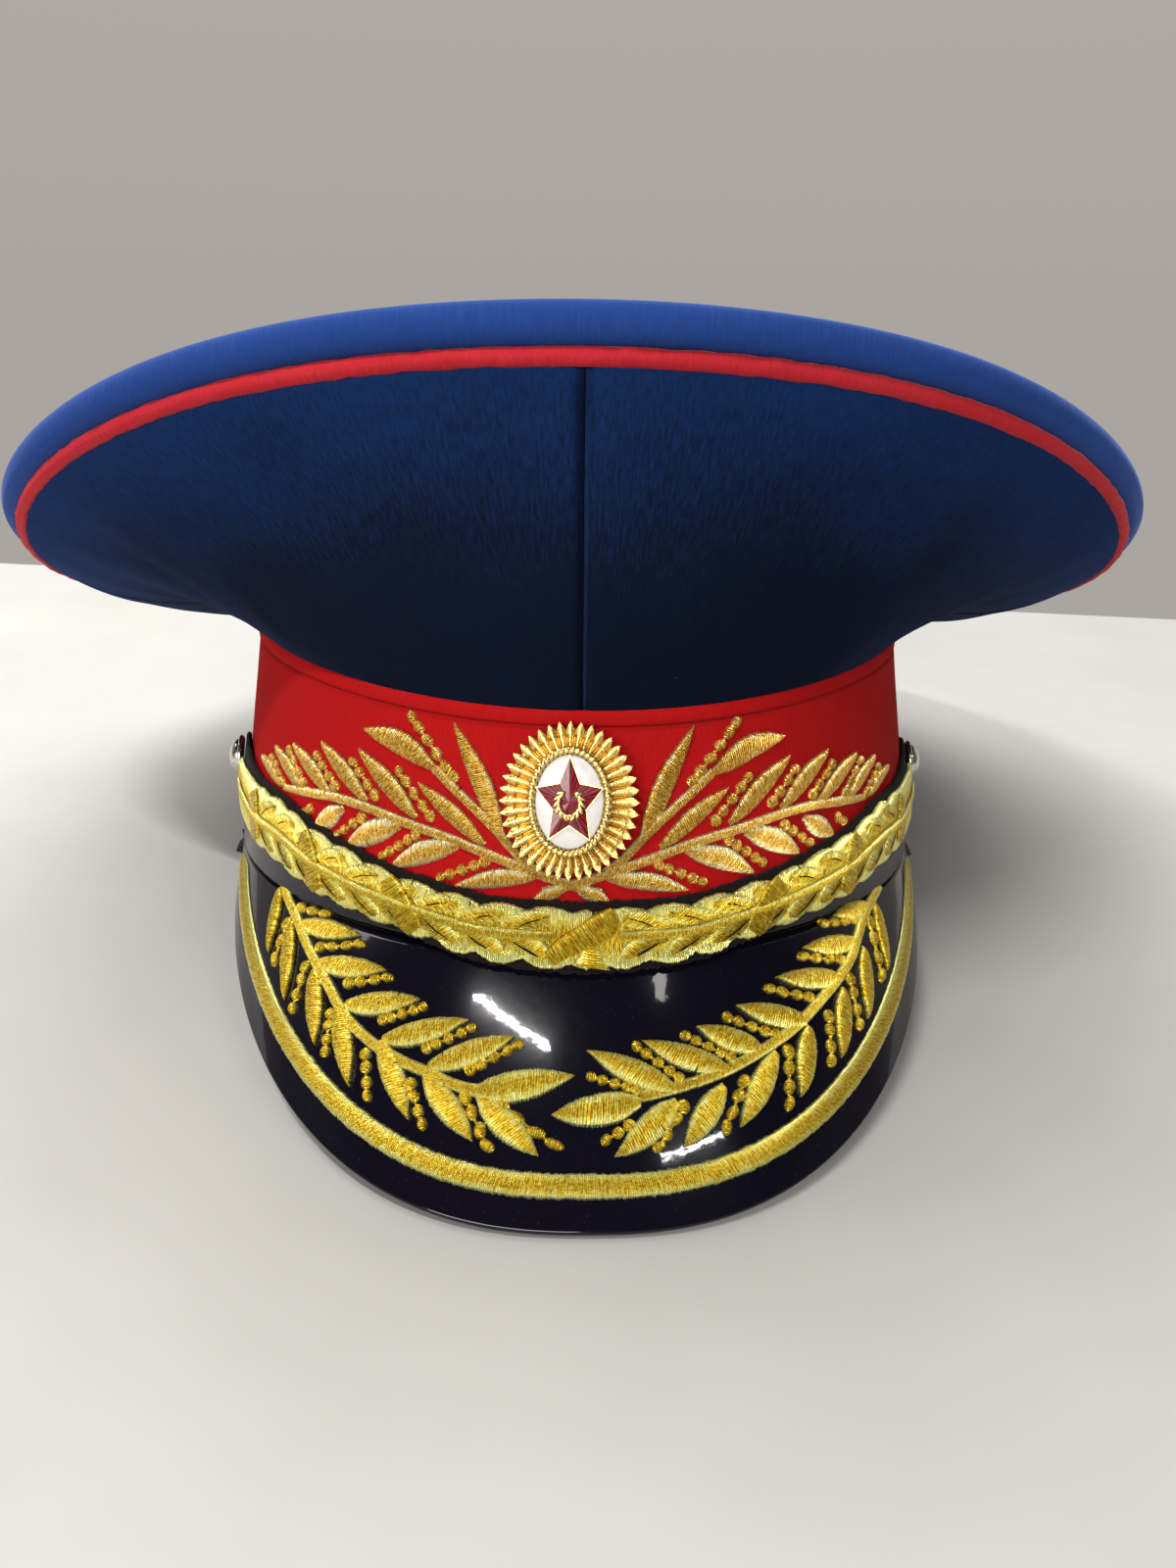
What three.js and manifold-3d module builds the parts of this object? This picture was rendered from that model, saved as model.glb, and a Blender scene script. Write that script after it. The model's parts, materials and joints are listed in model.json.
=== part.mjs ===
// General's peaked cap, standing on a flat surface on its peak and the back of its band.
// Millimetres, +Z up, the front towards -Y and the wearer's left towards +X.
// The cap is built in its own upright frame (band edge at z = 0), then tipped back until it rests.
import * as THREE from 'three';
import Module from 'manifold-3d';
import { mergeVertices } from 'three/addons/utils/BufferGeometryUtils.js';

const wasm = await Module();
wasm.setup();

const { abs, atan2, cos, hypot, max, PI, sign, sin } = Math;
const degrees = PI / 180;

// ---------------------------------------------------------------- driving dimensions
const pieceGap = 0.3;
const weldDistance = 1e-4;
const ringFacets = 60;
const wallSteps = 5;

const band = {
  halfWidth: 84.5, halfLength: 100.6, frontHeight: 43.4, sideRise: 8.1, topScale: 0.923, wall: 2.4,
};
const welt = { height: 2.7, proud: 0.7, wall: 2.4 };

// The seam ring of the crown: an ellipse lifted at the front and drooping at the sides.
const crown = {
  halfWidth: 140.2, halfLength: 131.4, backShift: 25.2, corner: 0.035,
  height: 69.4, frontLift: 27.5, saddle: 10.1, quarterDroop: 3.0,
  wall: 2.0, headDrop: 3.0, neck: 5, sag: 13, neckShare: 0.1, sagShare: 0.34, seamGap: 0.42, topSag: 2.0,
};
const piping = { radius: 1.3, sides: 8 };

// Section of the crown's top: inset from the piping (negative is outside it) and height above it.
const rollTopside = [
  { inset: -0.4, height: 1.7 }, { inset: -3.0, height: 2.3 }, { inset: -4.4, height: 4.2 },
  { inset: -3.8, height: 6.6 }, { inset: -1.3, height: 8.0 }, { inset: 3, height: 8.1 },
  { inset: 9, height: 7.0 }, { inset: 18, height: 6.0 }, { inset: 50, height: 5.4 },
];
const rollUnderside = [
  { inset: 1, height: 1.75 }, { inset: 6, height: 2.7 }, { inset: 18, height: 4.0 },
  { inset: 50, height: 3.4 },
];

// The peak: its rim swings from the band's sides down to the tip.
const peak = {
  halfWidth: 82.6, rootY: -12.4, reach: 121.6, drop: 36.0, widthPower: 0.825, dropPower: 1.1,
  thickness: 2.4, bulge: 1.5, endAngle: 84, facets: 29,
};
const border = {
  edgeInset: 5.0, width: 4.2, height: 0.9, chamfer: 0.5, lift: 0.5, outerEnd: 76, innerEnd: 69, steps: 38,
};

// The strap over the peak: distance from the centre along the band, height of its middle, half its width.
const strapRoute = [
  { along: 0, height: 2.7, half: 5.4 }, { along: 18, height: 3.3, half: 5.3 },
  { along: 35, height: 5.6, half: 5.3 }, { along: 57, height: 9.0, half: 6.1 },
  { along: 75, height: 12.4, half: 6.5 }, { along: 88, height: 13.2, half: 6.0 },
  { along: 100, height: 14.5, half: 5.4 }, { along: 108, height: 15.6, half: 4.2 },
  { along: 117, height: 17.2, half: 2.4 },
];
const backingRoute = [
  { along: 0, height: 2.9, half: 6.4 }, { along: 18, height: 3.4, half: 6.1 },
  { along: 35, height: 5.8, half: 6.1 }, { along: 57, height: 9.2, half: 6.8 },
  { along: 75, height: 12.6, half: 7.2 }, { along: 88, height: 13.5, half: 6.8 },
  { along: 100, height: 15.2, half: 6.7 }, { along: 108, height: 16.8, half: 6.7 },
  { along: 120, height: 18, half: 6.5 }, { along: 128, height: 18, half: 5.2 },
  { along: 131, height: 18, half: 2.6 },
];
const strap = {
  lift: 0.55, backing: 1.0, gold: 1.4, leanFrom: 1.0, leastFold: 1.0, room: 0.36, stepsPerRow: 2,
};
const button = { along: 124, height: 18, radius: 5, rimHeight: 1.0, dome: 2.4, sides: 14, domeSteps: 3 };

// The badge sits a little to one side of the crown's front seam, and so do the sprays round it.
const badgeShift = -2.8;
const cockade = {
  height: 27.7, lift: 1.55, rays: 36, halfWidth: 13, halfHeight: 14.8, notch: 0.9, plate: 1.2,
  rope: { halfWidth: 7.2, halfHeight: 9.7, radius: 0.8, facets: 28 },
  enamel: { halfWidth: 6.0, halfHeight: 8.5, thickness: 0.8, facets: 48 },
  star: { halfWidth: 6.1, halfHeight: 7.7, waist: 0.4, thickness: 1.0 },
  device: { radius: 1.9, wire: 0.45, facets: 16 },
  wireSides: 6,
};

// Embroidery: stems, leaves and berry chains in low relief, each starting at a lift of its own, so
// that no two of their faces meet. On the band a place is (along the band from the badge, height
// above the band's edge); on the peak it is (degrees round it, share of the way to its rim).
const stitch = {
  stem: { lift: 0.55, step: 0.03, height: 0.9, width: 2.4 },
  leaf: { lift: 0.63, height: 0.95 },
  chain: { lift: 0.68, height: 0.8, width: 2.2, taper: [0.5, 1, 0.6] },
  joinedWithin: 1, finest: 0.05,
};
const bandStem = [
  [74.5, 21.4], [66, 21.9], [55, 22.6], [47, 22.5], [40.7, 21.8], [33, 20.6], [25, 19.2], [18, 17.4],
  [10, 15.0], [4, 13.0], [1.6, 12.3],
];
const bandTwig = [[28.3, 31.7], [24.2, 28.6], [19.2, 25.1], [14.5, 20.8], [11, 16.4], [9, 14.6]];
const bandLeaves = [
  { base: [13.2, 19.4], tip: [24.5, 40.5], width: 4.2 },
  { base: [28.3, 31.7], tip: [46.6, 37.2], width: 4.6 },
  { base: [17.0, 18.6], tip: [32.0, 28.8], width: 3.4 },
  { base: [31.8, 22.0], tip: [47.8, 33.3], width: 4.0 },
  { base: [44.5, 23.5], tip: [60.1, 33.0], width: 3.8 },
  { base: [55.5, 23.1], tip: [71.7, 30.7], width: 3.6 },
  { base: [66.3, 22.2], tip: [81.5, 28.6], width: 3.2 },
  { base: [75.5, 21.8], tip: [91.0, 25.7], width: 2.6 },
  { base: [35.4, 20.0], tip: [48.6, 14.6], width: 4.2 },
  { base: [22.4, 17.7], tip: [36.0, 12.9], width: 3.8 },
  { base: [8.5, 14.2], tip: [22.0, 11.6], width: 2.2 },
];
const bandChains = [
  { base: [23.5, 29.9], tip: [34.6, 41.0] },
  { base: [28.2, 22.2], tip: [37.0, 30.7] },
  { base: [41.7, 24.3], tip: [49.7, 30.9] },
  { base: [53.4, 24.3], tip: [61.7, 30.2] },
  { base: [64.9, 22.7], tip: [73.8, 29.0] },
  { base: [31.1, 19.1], tip: [39.0, 14.4] },
];
const leftPeakStem = [
  [-52, 0.1], [-46, 0.16], [-41, 0.26], [-36, 0.36], [-31, 0.46], [-26, 0.51], [-22, 0.53], [-18, 0.54],
  [-12, 0.56],
];
const leftPeakLeaves = [
  { base: [-45, 0.14], tip: [-34, 0.13], width: 3.6 }, { base: [-39, 0.29], tip: [-27, 0.19], width: 3.8 },
  { base: [-32, 0.41], tip: [-21, 0.27], width: 4.0 }, { base: [-25, 0.48], tip: [-14, 0.31], width: 4.0 },
  { base: [-18, 0.52], tip: [-8, 0.35], width: 4.0 }, { base: [-12, 0.57], tip: [-1.5, 0.48], width: 4.2 },
  { base: [-51, 0.13], tip: [-50, 0.45], width: 3.0 }, { base: [-47, 0.17], tip: [-43, 0.60], width: 3.2 },
  { base: [-39, 0.33], tip: [-35, 0.66], width: 3.4 }, { base: [-33, 0.42], tip: [-28, 0.72], width: 3.6 },
  { base: [-24, 0.49], tip: [-19, 0.73], width: 3.8 }, { base: [-17, 0.55], tip: [-11, 0.74], width: 4.0 },
  { base: [-11, 0.58], tip: [-4, 0.76], width: 4.0 },
];
const rightPeakStem = [
  [52, 0.1], [47, 0.16], [40, 0.29], [32, 0.39], [26, 0.45], [20, 0.49], [15, 0.52], [10, 0.54],
  [3.5, 0.58],
];
const rightPeakLeaves = [
  { base: [43, 0.22], tip: [32, 0.12], width: 3.6 }, { base: [37, 0.34], tip: [26, 0.21], width: 3.8 },
  { base: [29, 0.45], tip: [19, 0.28], width: 4.0 }, { base: [21, 0.48], tip: [13, 0.33], width: 4.0 },
  { base: [16, 0.52], tip: [6, 0.36], width: 4.0 }, { base: [9, 0.55], tip: [0.5, 0.39], width: 4.0 },
  { base: [5, 0.58], tip: [-3, 0.62], width: 4.2 },
  { base: [51, 0.12], tip: [48, 0.53], width: 3.0 }, { base: [44, 0.28], tip: [40, 0.63], width: 3.2 },
  { base: [37, 0.40], tip: [33, 0.68], width: 3.4 }, { base: [29, 0.47], tip: [25, 0.72], width: 3.6 },
  { base: [23, 0.51], tip: [16, 0.73], width: 3.8 }, { base: [15, 0.57], tip: [9, 0.75], width: 4.0 },
  { base: [9, 0.59], tip: [2, 0.76], width: 4.0 },
];
// A laurel leaf's width along its length, as shares of both.
const leafOutline = [
  { along: 0, share: 0.35 }, { along: 0.28, share: 0.9 }, { along: 0.55, share: 1 },
  { along: 0.82, share: 0.62 }, { along: 1, share: 0.1 },
];

// ---------------------------------------------------------------- solids from section loops
const up = new THREE.Vector3(0, 0, 1);
const lerp = THREE.MathUtils.lerp;

// Drops triangles whose corners were welded together, and turns the shell so that it faces out.
function closedShell(points, faces) {
  const raw = new THREE.BufferGeometry();
  raw.setAttribute('position', new THREE.Float32BufferAttribute(points.flatMap((p) => [p.x, p.y, p.z]), 3));
  raw.setIndex(faces.flat());
  const welded = mergeVertices(raw, weldDistance);
  const index = welded.index.array;
  const at = (i) => new THREE.Vector3().fromBufferAttribute(welded.attributes.position, i);
  const kept = [];
  let volume = 0;
  for (let i = 0; i < index.length; i += 3) {
    const [a, b, c] = [index[i], index[i + 1], index[i + 2]];
    if (a === b || b === c || c === a) continue;
    kept.push([a, b, c]);
    volume += at(a).dot(at(b).cross(at(c)));
  }
  welded.setIndex(kept.flatMap(([a, b, c]) => (volume < 0 ? [a, c, b] : [a, b, c])));
  welded.computeVertexNormals();
  return welded;
}

// Skins a run of section loops. A loop is one side of the section, then the other side back again,
// so an end cap is the strip between the two sides.
function loft(loops, closed = false) {
  const count = loops[0].length;
  const faces = [];
  const quad = (a, b, c, d) => faces.push([a, b, c], [a, c, d]);
  const runs = closed ? loops.length : loops.length - 1;
  for (let i = 0; i < runs; i += 1) {
    const row = i * count;
    const next = ((i + 1) % loops.length) * count;
    for (let j = 0; j < count; j += 1) {
      const k = (j + 1) % count;
      quad(row + j, row + k, next + k, next + j);
    }
  }
  if (!closed) {
    const last = (loops.length - 1) * count;
    for (let j = 0; j < count - 1 - j; j += 1) {
      const [near, far] = [j, count - 1 - j];
      if (far - 1 <= near) break;
      quad(far, far - 1, near + 1, near);
      quad(last + near, last + near + 1, last + far - 1, last + far);
    }
  }
  return closedShell(loops.flat(), faces);
}

function evenSteps(from, to, count) {
  return Array.from({ length: count + 1 }, (_, i) => lerp(from, to, i / count));
}

// ---------------------------------------------------------------- the band's surface
function bandTop(angle) {
  return band.frontHeight + band.sideRise * sin(angle) ** 2;
}

function bandOutward(angle) {
  return new THREE.Vector3(sin(angle) / band.halfWidth, -cos(angle) / band.halfLength, 0).normalize();
}

function bandPoint(angle, height, lift = 0) {
  const scale = 1 + (band.topScale - 1) * height / bandTop(angle);
  const x = band.halfWidth * scale * sin(angle);
  const y = -band.halfLength * scale * cos(angle);
  return new THREE.Vector3(x, y, height).addScaledVector(bandOutward(angle), lift);
}

// The angle at a distance along the band's edge from the front.
function bandAngle(along) {
  const steps = 200;
  let angle = 0;
  for (let i = 0; i < steps; i += 1) {
    angle += along / steps / hypot(band.halfWidth * cos(angle), band.halfLength * sin(angle));
  }
  return angle;
}

// ---------------------------------------------------------------- the crown's surfaces
// The crown's top, from its middle (share 0) out to the piping (share 1) and past it.
function crownSheet(angle, share) {
  const corner = 1 - crown.corner * sin(2 * angle) ** 2 * (1 + cos(angle)) / 2;
  return new THREE.Vector3(
    crown.halfWidth * share * corner * sin(angle),
    crown.backShift - crown.halfLength * share * corner * cos(angle),
    crown.height + crown.frontLift * share * cos(angle) + crown.saddle * share ** 2 * cos(2 * angle)
      - crown.quarterDroop * share ** 3 * cos(3 * angle),
  );
}

function crownNormal(angle) {
  const step = 0.001;
  const around = crownSheet(angle + step, 1).sub(crownSheet(angle - step, 1));
  const outward = crownSheet(angle, 1 + step).sub(crownSheet(angle, 1 - step));
  const normal = around.cross(outward).normalize();
  return normal.z < 0 ? normal.negate() : normal;
}

// A point of the top's section, by its inset from the piping and its height over the ring.
function crownTopPoint(angle, inset, height) {
  const radius = crownSheet(angle, 1).distanceTo(crownSheet(angle, 0));
  const share = max(0, 1 - inset / radius);
  const normal = up.clone().lerp(crownNormal(angle), Math.min(share, 1)).normalize();
  return crownSheet(angle, share).addScaledVector(normal, height);
}

function wallPoint(angle, share) {
  const foot = bandPoint(angle, bandTop(angle) + pieceGap);
  const head = crownSheet(angle, 1).addScaledVector(up, -crown.headDrop);
  const outward = bandOutward(angle);
  const spread = hypot(head.x - foot.x, head.y - foot.y);
  const neck = foot.clone()
    .addScaledVector(outward, crown.neckShare * spread)
    .addScaledVector(up, crown.neck);
  const sag = head.clone()
    .addScaledVector(outward, -crown.sagShare * spread)
    .addScaledVector(up, -crown.sag);
  return new THREE.CubicBezierCurve3(foot, neck, sag, head).getPoint(share);
}

function wallInside(angle, share) {
  const step = 0.001;
  const around = wallPoint(angle + step, share).sub(wallPoint(angle - step, share));
  const upward = wallPoint(angle, Math.min(share + step, 1)).sub(wallPoint(angle, max(share - step, 0)));
  return wallPoint(angle, share).addScaledVector(around.cross(upward).normalize(), -crown.wall);
}

// ---------------------------------------------------------------- the peak's surface
function peakRoot(angle) {
  const end = Math.acos(-peak.rootY / band.halfLength);
  return bandPoint(angle * end / (PI / 2), 0).addScaledVector(up, -pieceGap);
}

function peakRim(angle) {
  const swing = abs(cos(angle)) ** peak.dropPower;
  const x = peak.halfWidth * sign(angle) * abs(sin(angle)) ** peak.widthPower;
  return new THREE.Vector3(x, peak.rootY - peak.reach * swing, -pieceGap - peak.drop * swing);
}

function peakSurface(angle, share) {
  const root = peakRoot(angle);
  const ruling = peakRim(angle).sub(root);
  const around = new THREE.Vector3(cos(angle), sin(angle), 0);
  const normal = around.clone().cross(ruling).normalize().negate();
  if (normal.z < 0) normal.negate();
  const swell = 4 * peak.bulge * share * (1 - share) * ruling.length() / peakRim(0).distanceTo(peakRoot(0));
  return root.addScaledVector(ruling, share).addScaledVector(normal, swell);
}

function peakNormal(angle, share) {
  const step = 0.002;
  const around = peakSurface(angle + step, share).sub(peakSurface(angle - step, share));
  const outward = peakSurface(angle, share + step).sub(peakSurface(angle, share - step));
  const normal = around.cross(outward).normalize();
  return normal.z < 0 ? normal.negate() : normal;
}

function peakPoint(angle, share, lift = 0) {
  return peakSurface(angle, share).addScaledVector(peakNormal(angle, share), lift);
}

// The point at a distance in from the rim, measured over the peak, on the ruling at an angle.
const halvings = 24;
const rimSamples = evenSteps(-90, 90, 360).map((angle) => peakRim(angle * degrees));
function peakInset(angle, distance, lift) {
  let [near, far] = [0, 1];
  for (let i = 0; i < halvings; i += 1) {
    const share = (near + far) / 2;
    const place = peakSurface(angle, share);
    const reach = Math.min(...rimSamples.map((sample) => sample.distanceTo(place)));
    if (reach > distance) near = share; else far = share;
  }
  return peakPoint(angle, near, lift);
}

// ---------------------------------------------------------------- pieces
const cap = new THREE.Group();

function addPiece(name, geometry, { color, roughness, metalness = 0 }, parent = cap) {
  const mesh = new THREE.Mesh(geometry, new THREE.MeshStandardMaterial({ color, roughness, metalness }));
  mesh.name = name;
  parent.add(mesh);
  return mesh;
}

const finish = {
  blueCloth: { color: 0x1b2f66, roughness: 0.95 },
  redCloth: { color: 0xb3171a, roughness: 0.95 },
  lacquer: { color: 0x0b0a10, roughness: 0.12 },
  goldThread: { color: 0xcfae3a, roughness: 0.45, metalness: 0.8 },
  blackFelt: { color: 0x131014, roughness: 0.95 },
  gilt: { color: 0xd9b23c, roughness: 0.25, metalness: 1 },
  steel: { color: 0xd8d8d4, roughness: 0.2, metalness: 1 },
  whiteEnamel: { color: 0xf2f0ea, roughness: 0.15 },
  redEnamel: { color: 0x6d0f14, roughness: 0.15 },
};

// Half a facet off the centre line, so that the band rests on a short edge and not on one corner.
const ringAngles = evenSteps(0, 2 * PI, ringFacets).slice(0, -1).map((angle) => angle + PI / ringFacets);

function ringWall(low, high, outside, inside) {
  return loft(ringAngles.map((angle) => [
    bandPoint(angle, low(angle), outside), bandPoint(angle, high(angle), outside),
    bandPoint(angle, high(angle), -inside), bandPoint(angle, low(angle), -inside),
  ]), true);
}

addPiece('cap_band',
  ringWall(() => 0, (a) => bandTop(a) - welt.height - pieceGap, 0, band.wall), finish.redCloth);
addPiece('band_welt',
  ringWall((a) => bandTop(a) - welt.height, bandTop, welt.proud, welt.wall), finish.redCloth);

const wallShares = evenSteps(0, 1, wallSteps);
const crownQuarters = { front_right: -90, front_left: 0, back_left: 90, back_right: 180 };
for (const [name, start] of Object.entries(crownQuarters)) {
  const trim = crown.seamGap / 2 / band.halfLength;
  const angles = evenSteps(start * degrees + trim, (start + 90) * degrees - trim, ringFacets / 4);
  const loops = angles.map((angle) => [
    ...wallShares.map((share) => wallPoint(angle, share)),
    ...wallShares.map((share) => wallInside(angle, share)).reverse(),
  ]);
  addPiece(`crown_${name}`, loft(loops), finish.blueCloth);
}

addPiece('crown_piping', loft(ringAngles.map((angle) => {
  const outward = bandOutward(angle);
  return evenSteps(0, 2 * PI, piping.sides).slice(0, -1).map((turn) => crownSheet(angle, 1)
    .addScaledVector(outward, piping.radius * cos(turn)).addScaledVector(up, piping.radius * sin(turn)));
}), true), finish.redCloth);

addPiece('crown_top', loft(ringAngles.map((angle) => {
  const side = (profile) => profile.map(({ inset, height }) => crownTopPoint(angle, inset, height));
  const middle = crownSheet(angle, 0);
  const centreTop = middle.clone().addScaledVector(up, rollTopside.at(-1).height - crown.topSag);
  const centreUnder = centreTop.clone().addScaledVector(up, -crown.wall);
  return [...side(rollTopside), centreTop, centreUnder, ...side(rollUnderside).reverse()];
}), true), finish.blueCloth);

// The peak: a lacquered shell whose root is tucked under the band's edge.
const peakShares = evenSteps(0, 1, wallSteps);
addPiece('peak', loft(evenSteps(-peak.endAngle, peak.endAngle, peak.facets).map((degree) => {
  const angle = degree * degrees;
  const root = peakRoot(angle);
  const inward = new THREE.Vector3(-root.x, -root.y, 0).normalize().multiplyScalar(band.wall);
  const top = peakShares.map((share) => peakPoint(angle, share));
  const under = peakShares.map((share) => peakPoint(angle, share, -peak.thickness));
  const tuck = root.clone().add(inward);
  return [tuck, ...top, ...under.reverse(), tuck.clone().addScaledVector(up, -peak.thickness)];
})), finish.lacquer);

const borderInner = border.edgeInset + border.width;
addPiece('peak_border', loft(evenSteps(-1, 1, border.steps).map((turn) => {
  const [outer, inner] = [turn * border.outerEnd * degrees, turn * border.innerEnd * degrees];
  return [
    peakInset(outer, border.edgeInset, border.lift),
    peakInset(outer, border.edgeInset + border.chamfer, border.lift + border.height),
    peakInset(inner, borderInner - border.chamfer, border.lift + border.height),
    peakInset(inner, borderInner, border.lift),
  ];
})), finish.goldThread);

// The strap: a black backing and a gold face, leaning out over the peak's root at the centre.
function strapSolid(route, floor, thickness) {
  const mirrored = route.slice(1).reverse().map((row) => ({ ...row, along: -row.along }));
  const fullRoute = [...mirrored, ...route];
  const stations = fullRoute.slice(0, -1).flatMap((row, i) => evenSteps(0, 1, strap.stepsPerRow)
    .slice(0, -1)
    .map((t) => ({
      along: lerp(row.along, fullRoute[i + 1].along, t),
      height: lerp(row.height, fullRoute[i + 1].height, t),
      half: lerp(row.half, fullRoute[i + 1].half, t),
    })));
  stations.push(fullRoute.at(-1));
  return loft(stations.map(({ along, height, half }) => {
    const angle = bandAngle(along);
    const fold = Math.min(height, max(strap.leanFrom, height - half + strap.leastFold));
    const rows = [height - half, fold, height + half];
    const place = (level, lift) => bandPoint(angle, level, lift + max(0, strap.leanFrom - level));
    return [
      ...rows.map((level) => place(level, floor + thickness)),
      ...rows.map((level) => place(level, floor)).reverse(),
    ];
  }));
}
addPiece('strap_backing', strapSolid(backingRoute, strap.lift, strap.backing), finish.blackFelt);
addPiece('strap_gold',
  strapSolid(strapRoute, 2 * strap.lift + strap.backing, strap.gold), finish.goldThread);

// A local frame on the band: x along it, y up its wall, z out of it.
function bandMount(along, height, lift) {
  const angle = bandAngle(along);
  const place = bandPoint(angle, height, lift);
  const upWall = bandPoint(angle, height + 1, lift).sub(place).normalize();
  const out = bandOutward(angle);
  const side = upWall.clone().cross(out).normalize();
  const mount = new THREE.Group();
  mount.matrix.makeBasis(side, upWall, side.clone().cross(upWall)).setPosition(place);
  mount.matrix.decompose(mount.position, mount.quaternion, mount.scale);
  cap.add(mount);
  return mount;
}

for (const [name, side] of [['button_right', -1], ['button_left', 1]]) {
  const dome = evenSteps(0, PI / 2, button.domeSteps).map((turn) => new THREE.Vector2(
    button.radius * cos(turn), button.rimHeight + button.dome * sin(turn)));
  const profile = [new THREE.Vector2(0, 0), new THREE.Vector2(button.radius, 0), ...dome];
  const geometry = new THREE.LatheGeometry(profile, button.sides).rotateX(PI / 2);
  const mount = bandMount(side * button.along, button.height, strap.lift + strap.backing + pieceGap);
  addPiece(name, geometry, finish.steel, mount);
}

// The cockade, in layers: a plate of rays, a rope ring, an enamel oval, a star and a small wreath.
const badge = bandMount(badgeShift, cockade.height, cockade.lift);
const level = {
  rope: cockade.plate + pieceGap + cockade.rope.radius,
  enamel: cockade.plate + pieceGap,
  star: cockade.plate + 2 * pieceGap + cockade.enamel.thickness,
};
level.device = level.star + cockade.star.thickness + pieceGap + cockade.device.wire;

function pointedPlate(points, halfWidth, halfHeight, notch, thickness) {
  const corners = evenSteps(0, 2 * PI, 2 * points).slice(0, -1).map((turn, i) => {
    const share = i % 2 ? notch : 1;
    return new THREE.Vector2(halfWidth * share * sin(turn), halfHeight * share * cos(turn));
  });
  return new THREE.ExtrudeGeometry(new THREE.Shape(corners), { depth: thickness, bevelEnabled: false });
}

addPiece('cockade_rays', pointedPlate(
  cockade.rays, cockade.halfWidth, cockade.halfHeight, cockade.notch, cockade.plate), finish.gilt, badge);
const { rope, enamel, star, device } = cockade;
const ropeRing = new THREE.TorusGeometry(
  1, rope.radius / rope.halfHeight, cockade.wireSides, rope.facets);
addPiece('cockade_rope', ropeRing
  .scale(rope.halfWidth, rope.halfHeight, rope.halfHeight)
  .translate(0, 0, level.rope), finish.gilt, badge);
addPiece('cockade_enamel', pointedPlate(
  enamel.facets / 2, enamel.halfWidth, enamel.halfHeight, 1, enamel.thickness)
  .translate(0, 0, level.enamel), finish.whiteEnamel, badge);
addPiece('cockade_star', pointedPlate(5, star.halfWidth, star.halfHeight, star.waist, star.thickness)
  .translate(0, 0, level.star), finish.redEnamel, badge);
const deviceRing = new THREE.TorusGeometry(
  device.radius, device.wire, cockade.wireSides, device.facets);
addPiece('cockade_device', deviceRing.translate(0, 0, level.device), finish.gilt, badge);

// ---------------------------------------------------------------- embroidery
const onBand = (side) => ([along, height], lift) => bandPoint(
  bandAngle(badgeShift + side * along), height, lift);
const onPeak = ([degree, share], lift) => peakPoint(degree * degrees, share, lift);

// One raised strip of stitches along a route of surface places, with its width at each place.
function raisedStrip(surface, route, widths, height, lift) {
  return loft(route.map((place, i) => {
    const centre = surface(place, lift);
    const ahead = surface(route[Math.min(i + 1, route.length - 1)], lift);
    const behind = surface(route[max(i - 1, 0)], lift);
    const normal = surface(place, lift + 1).sub(centre);
    const sideways = normal.clone().cross(ahead.sub(behind)).normalize();
    const half = widths[i] / 2;
    const left = centre.clone().addScaledVector(sideways, half);
    const right = centre.clone().addScaledVector(sideways, -half);
    return [left, centre.clone().addScaledVector(normal, height), right, centre];
  }));
}

const between = (a, b, t) => [lerp(a[0], b[0], t), lerp(a[1], b[1], t)];

// The place on the stems that lies nearest to a leaf's base, so that every leaf grows out of one.
function nearestOnStems(surface, stems, base) {
  const target = surface(base, 0);
  const places = stems.flatMap((stem) => stem.slice(0, -1).flatMap((from, i) => evenSteps(0, 1, 4)
    .map((t) => between(from, stem[i + 1], t))));
  return places.reduce((best, place) => (
    surface(place, 0).distanceTo(target) < surface(best, 0).distanceTo(target) ? place : best));
}

function toManifold(geometry) {
  const bare = geometry.clone();
  bare.deleteAttribute('normal');
  return new wasm.Manifold(new wasm.Mesh({
    numProp: 3,
    vertProperties: new Float32Array(bare.attributes.position.array),
    triVerts: new Uint32Array(bare.index.array),
  }));
}

// The strap lies over the sprays, so they end a little short of its edge.
const strapRoom = toManifold(strapSolid(
  backingRoute.map((row) => ({ ...row, half: row.half + strap.room })), -strap.backing, 6 * strap.backing));

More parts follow.
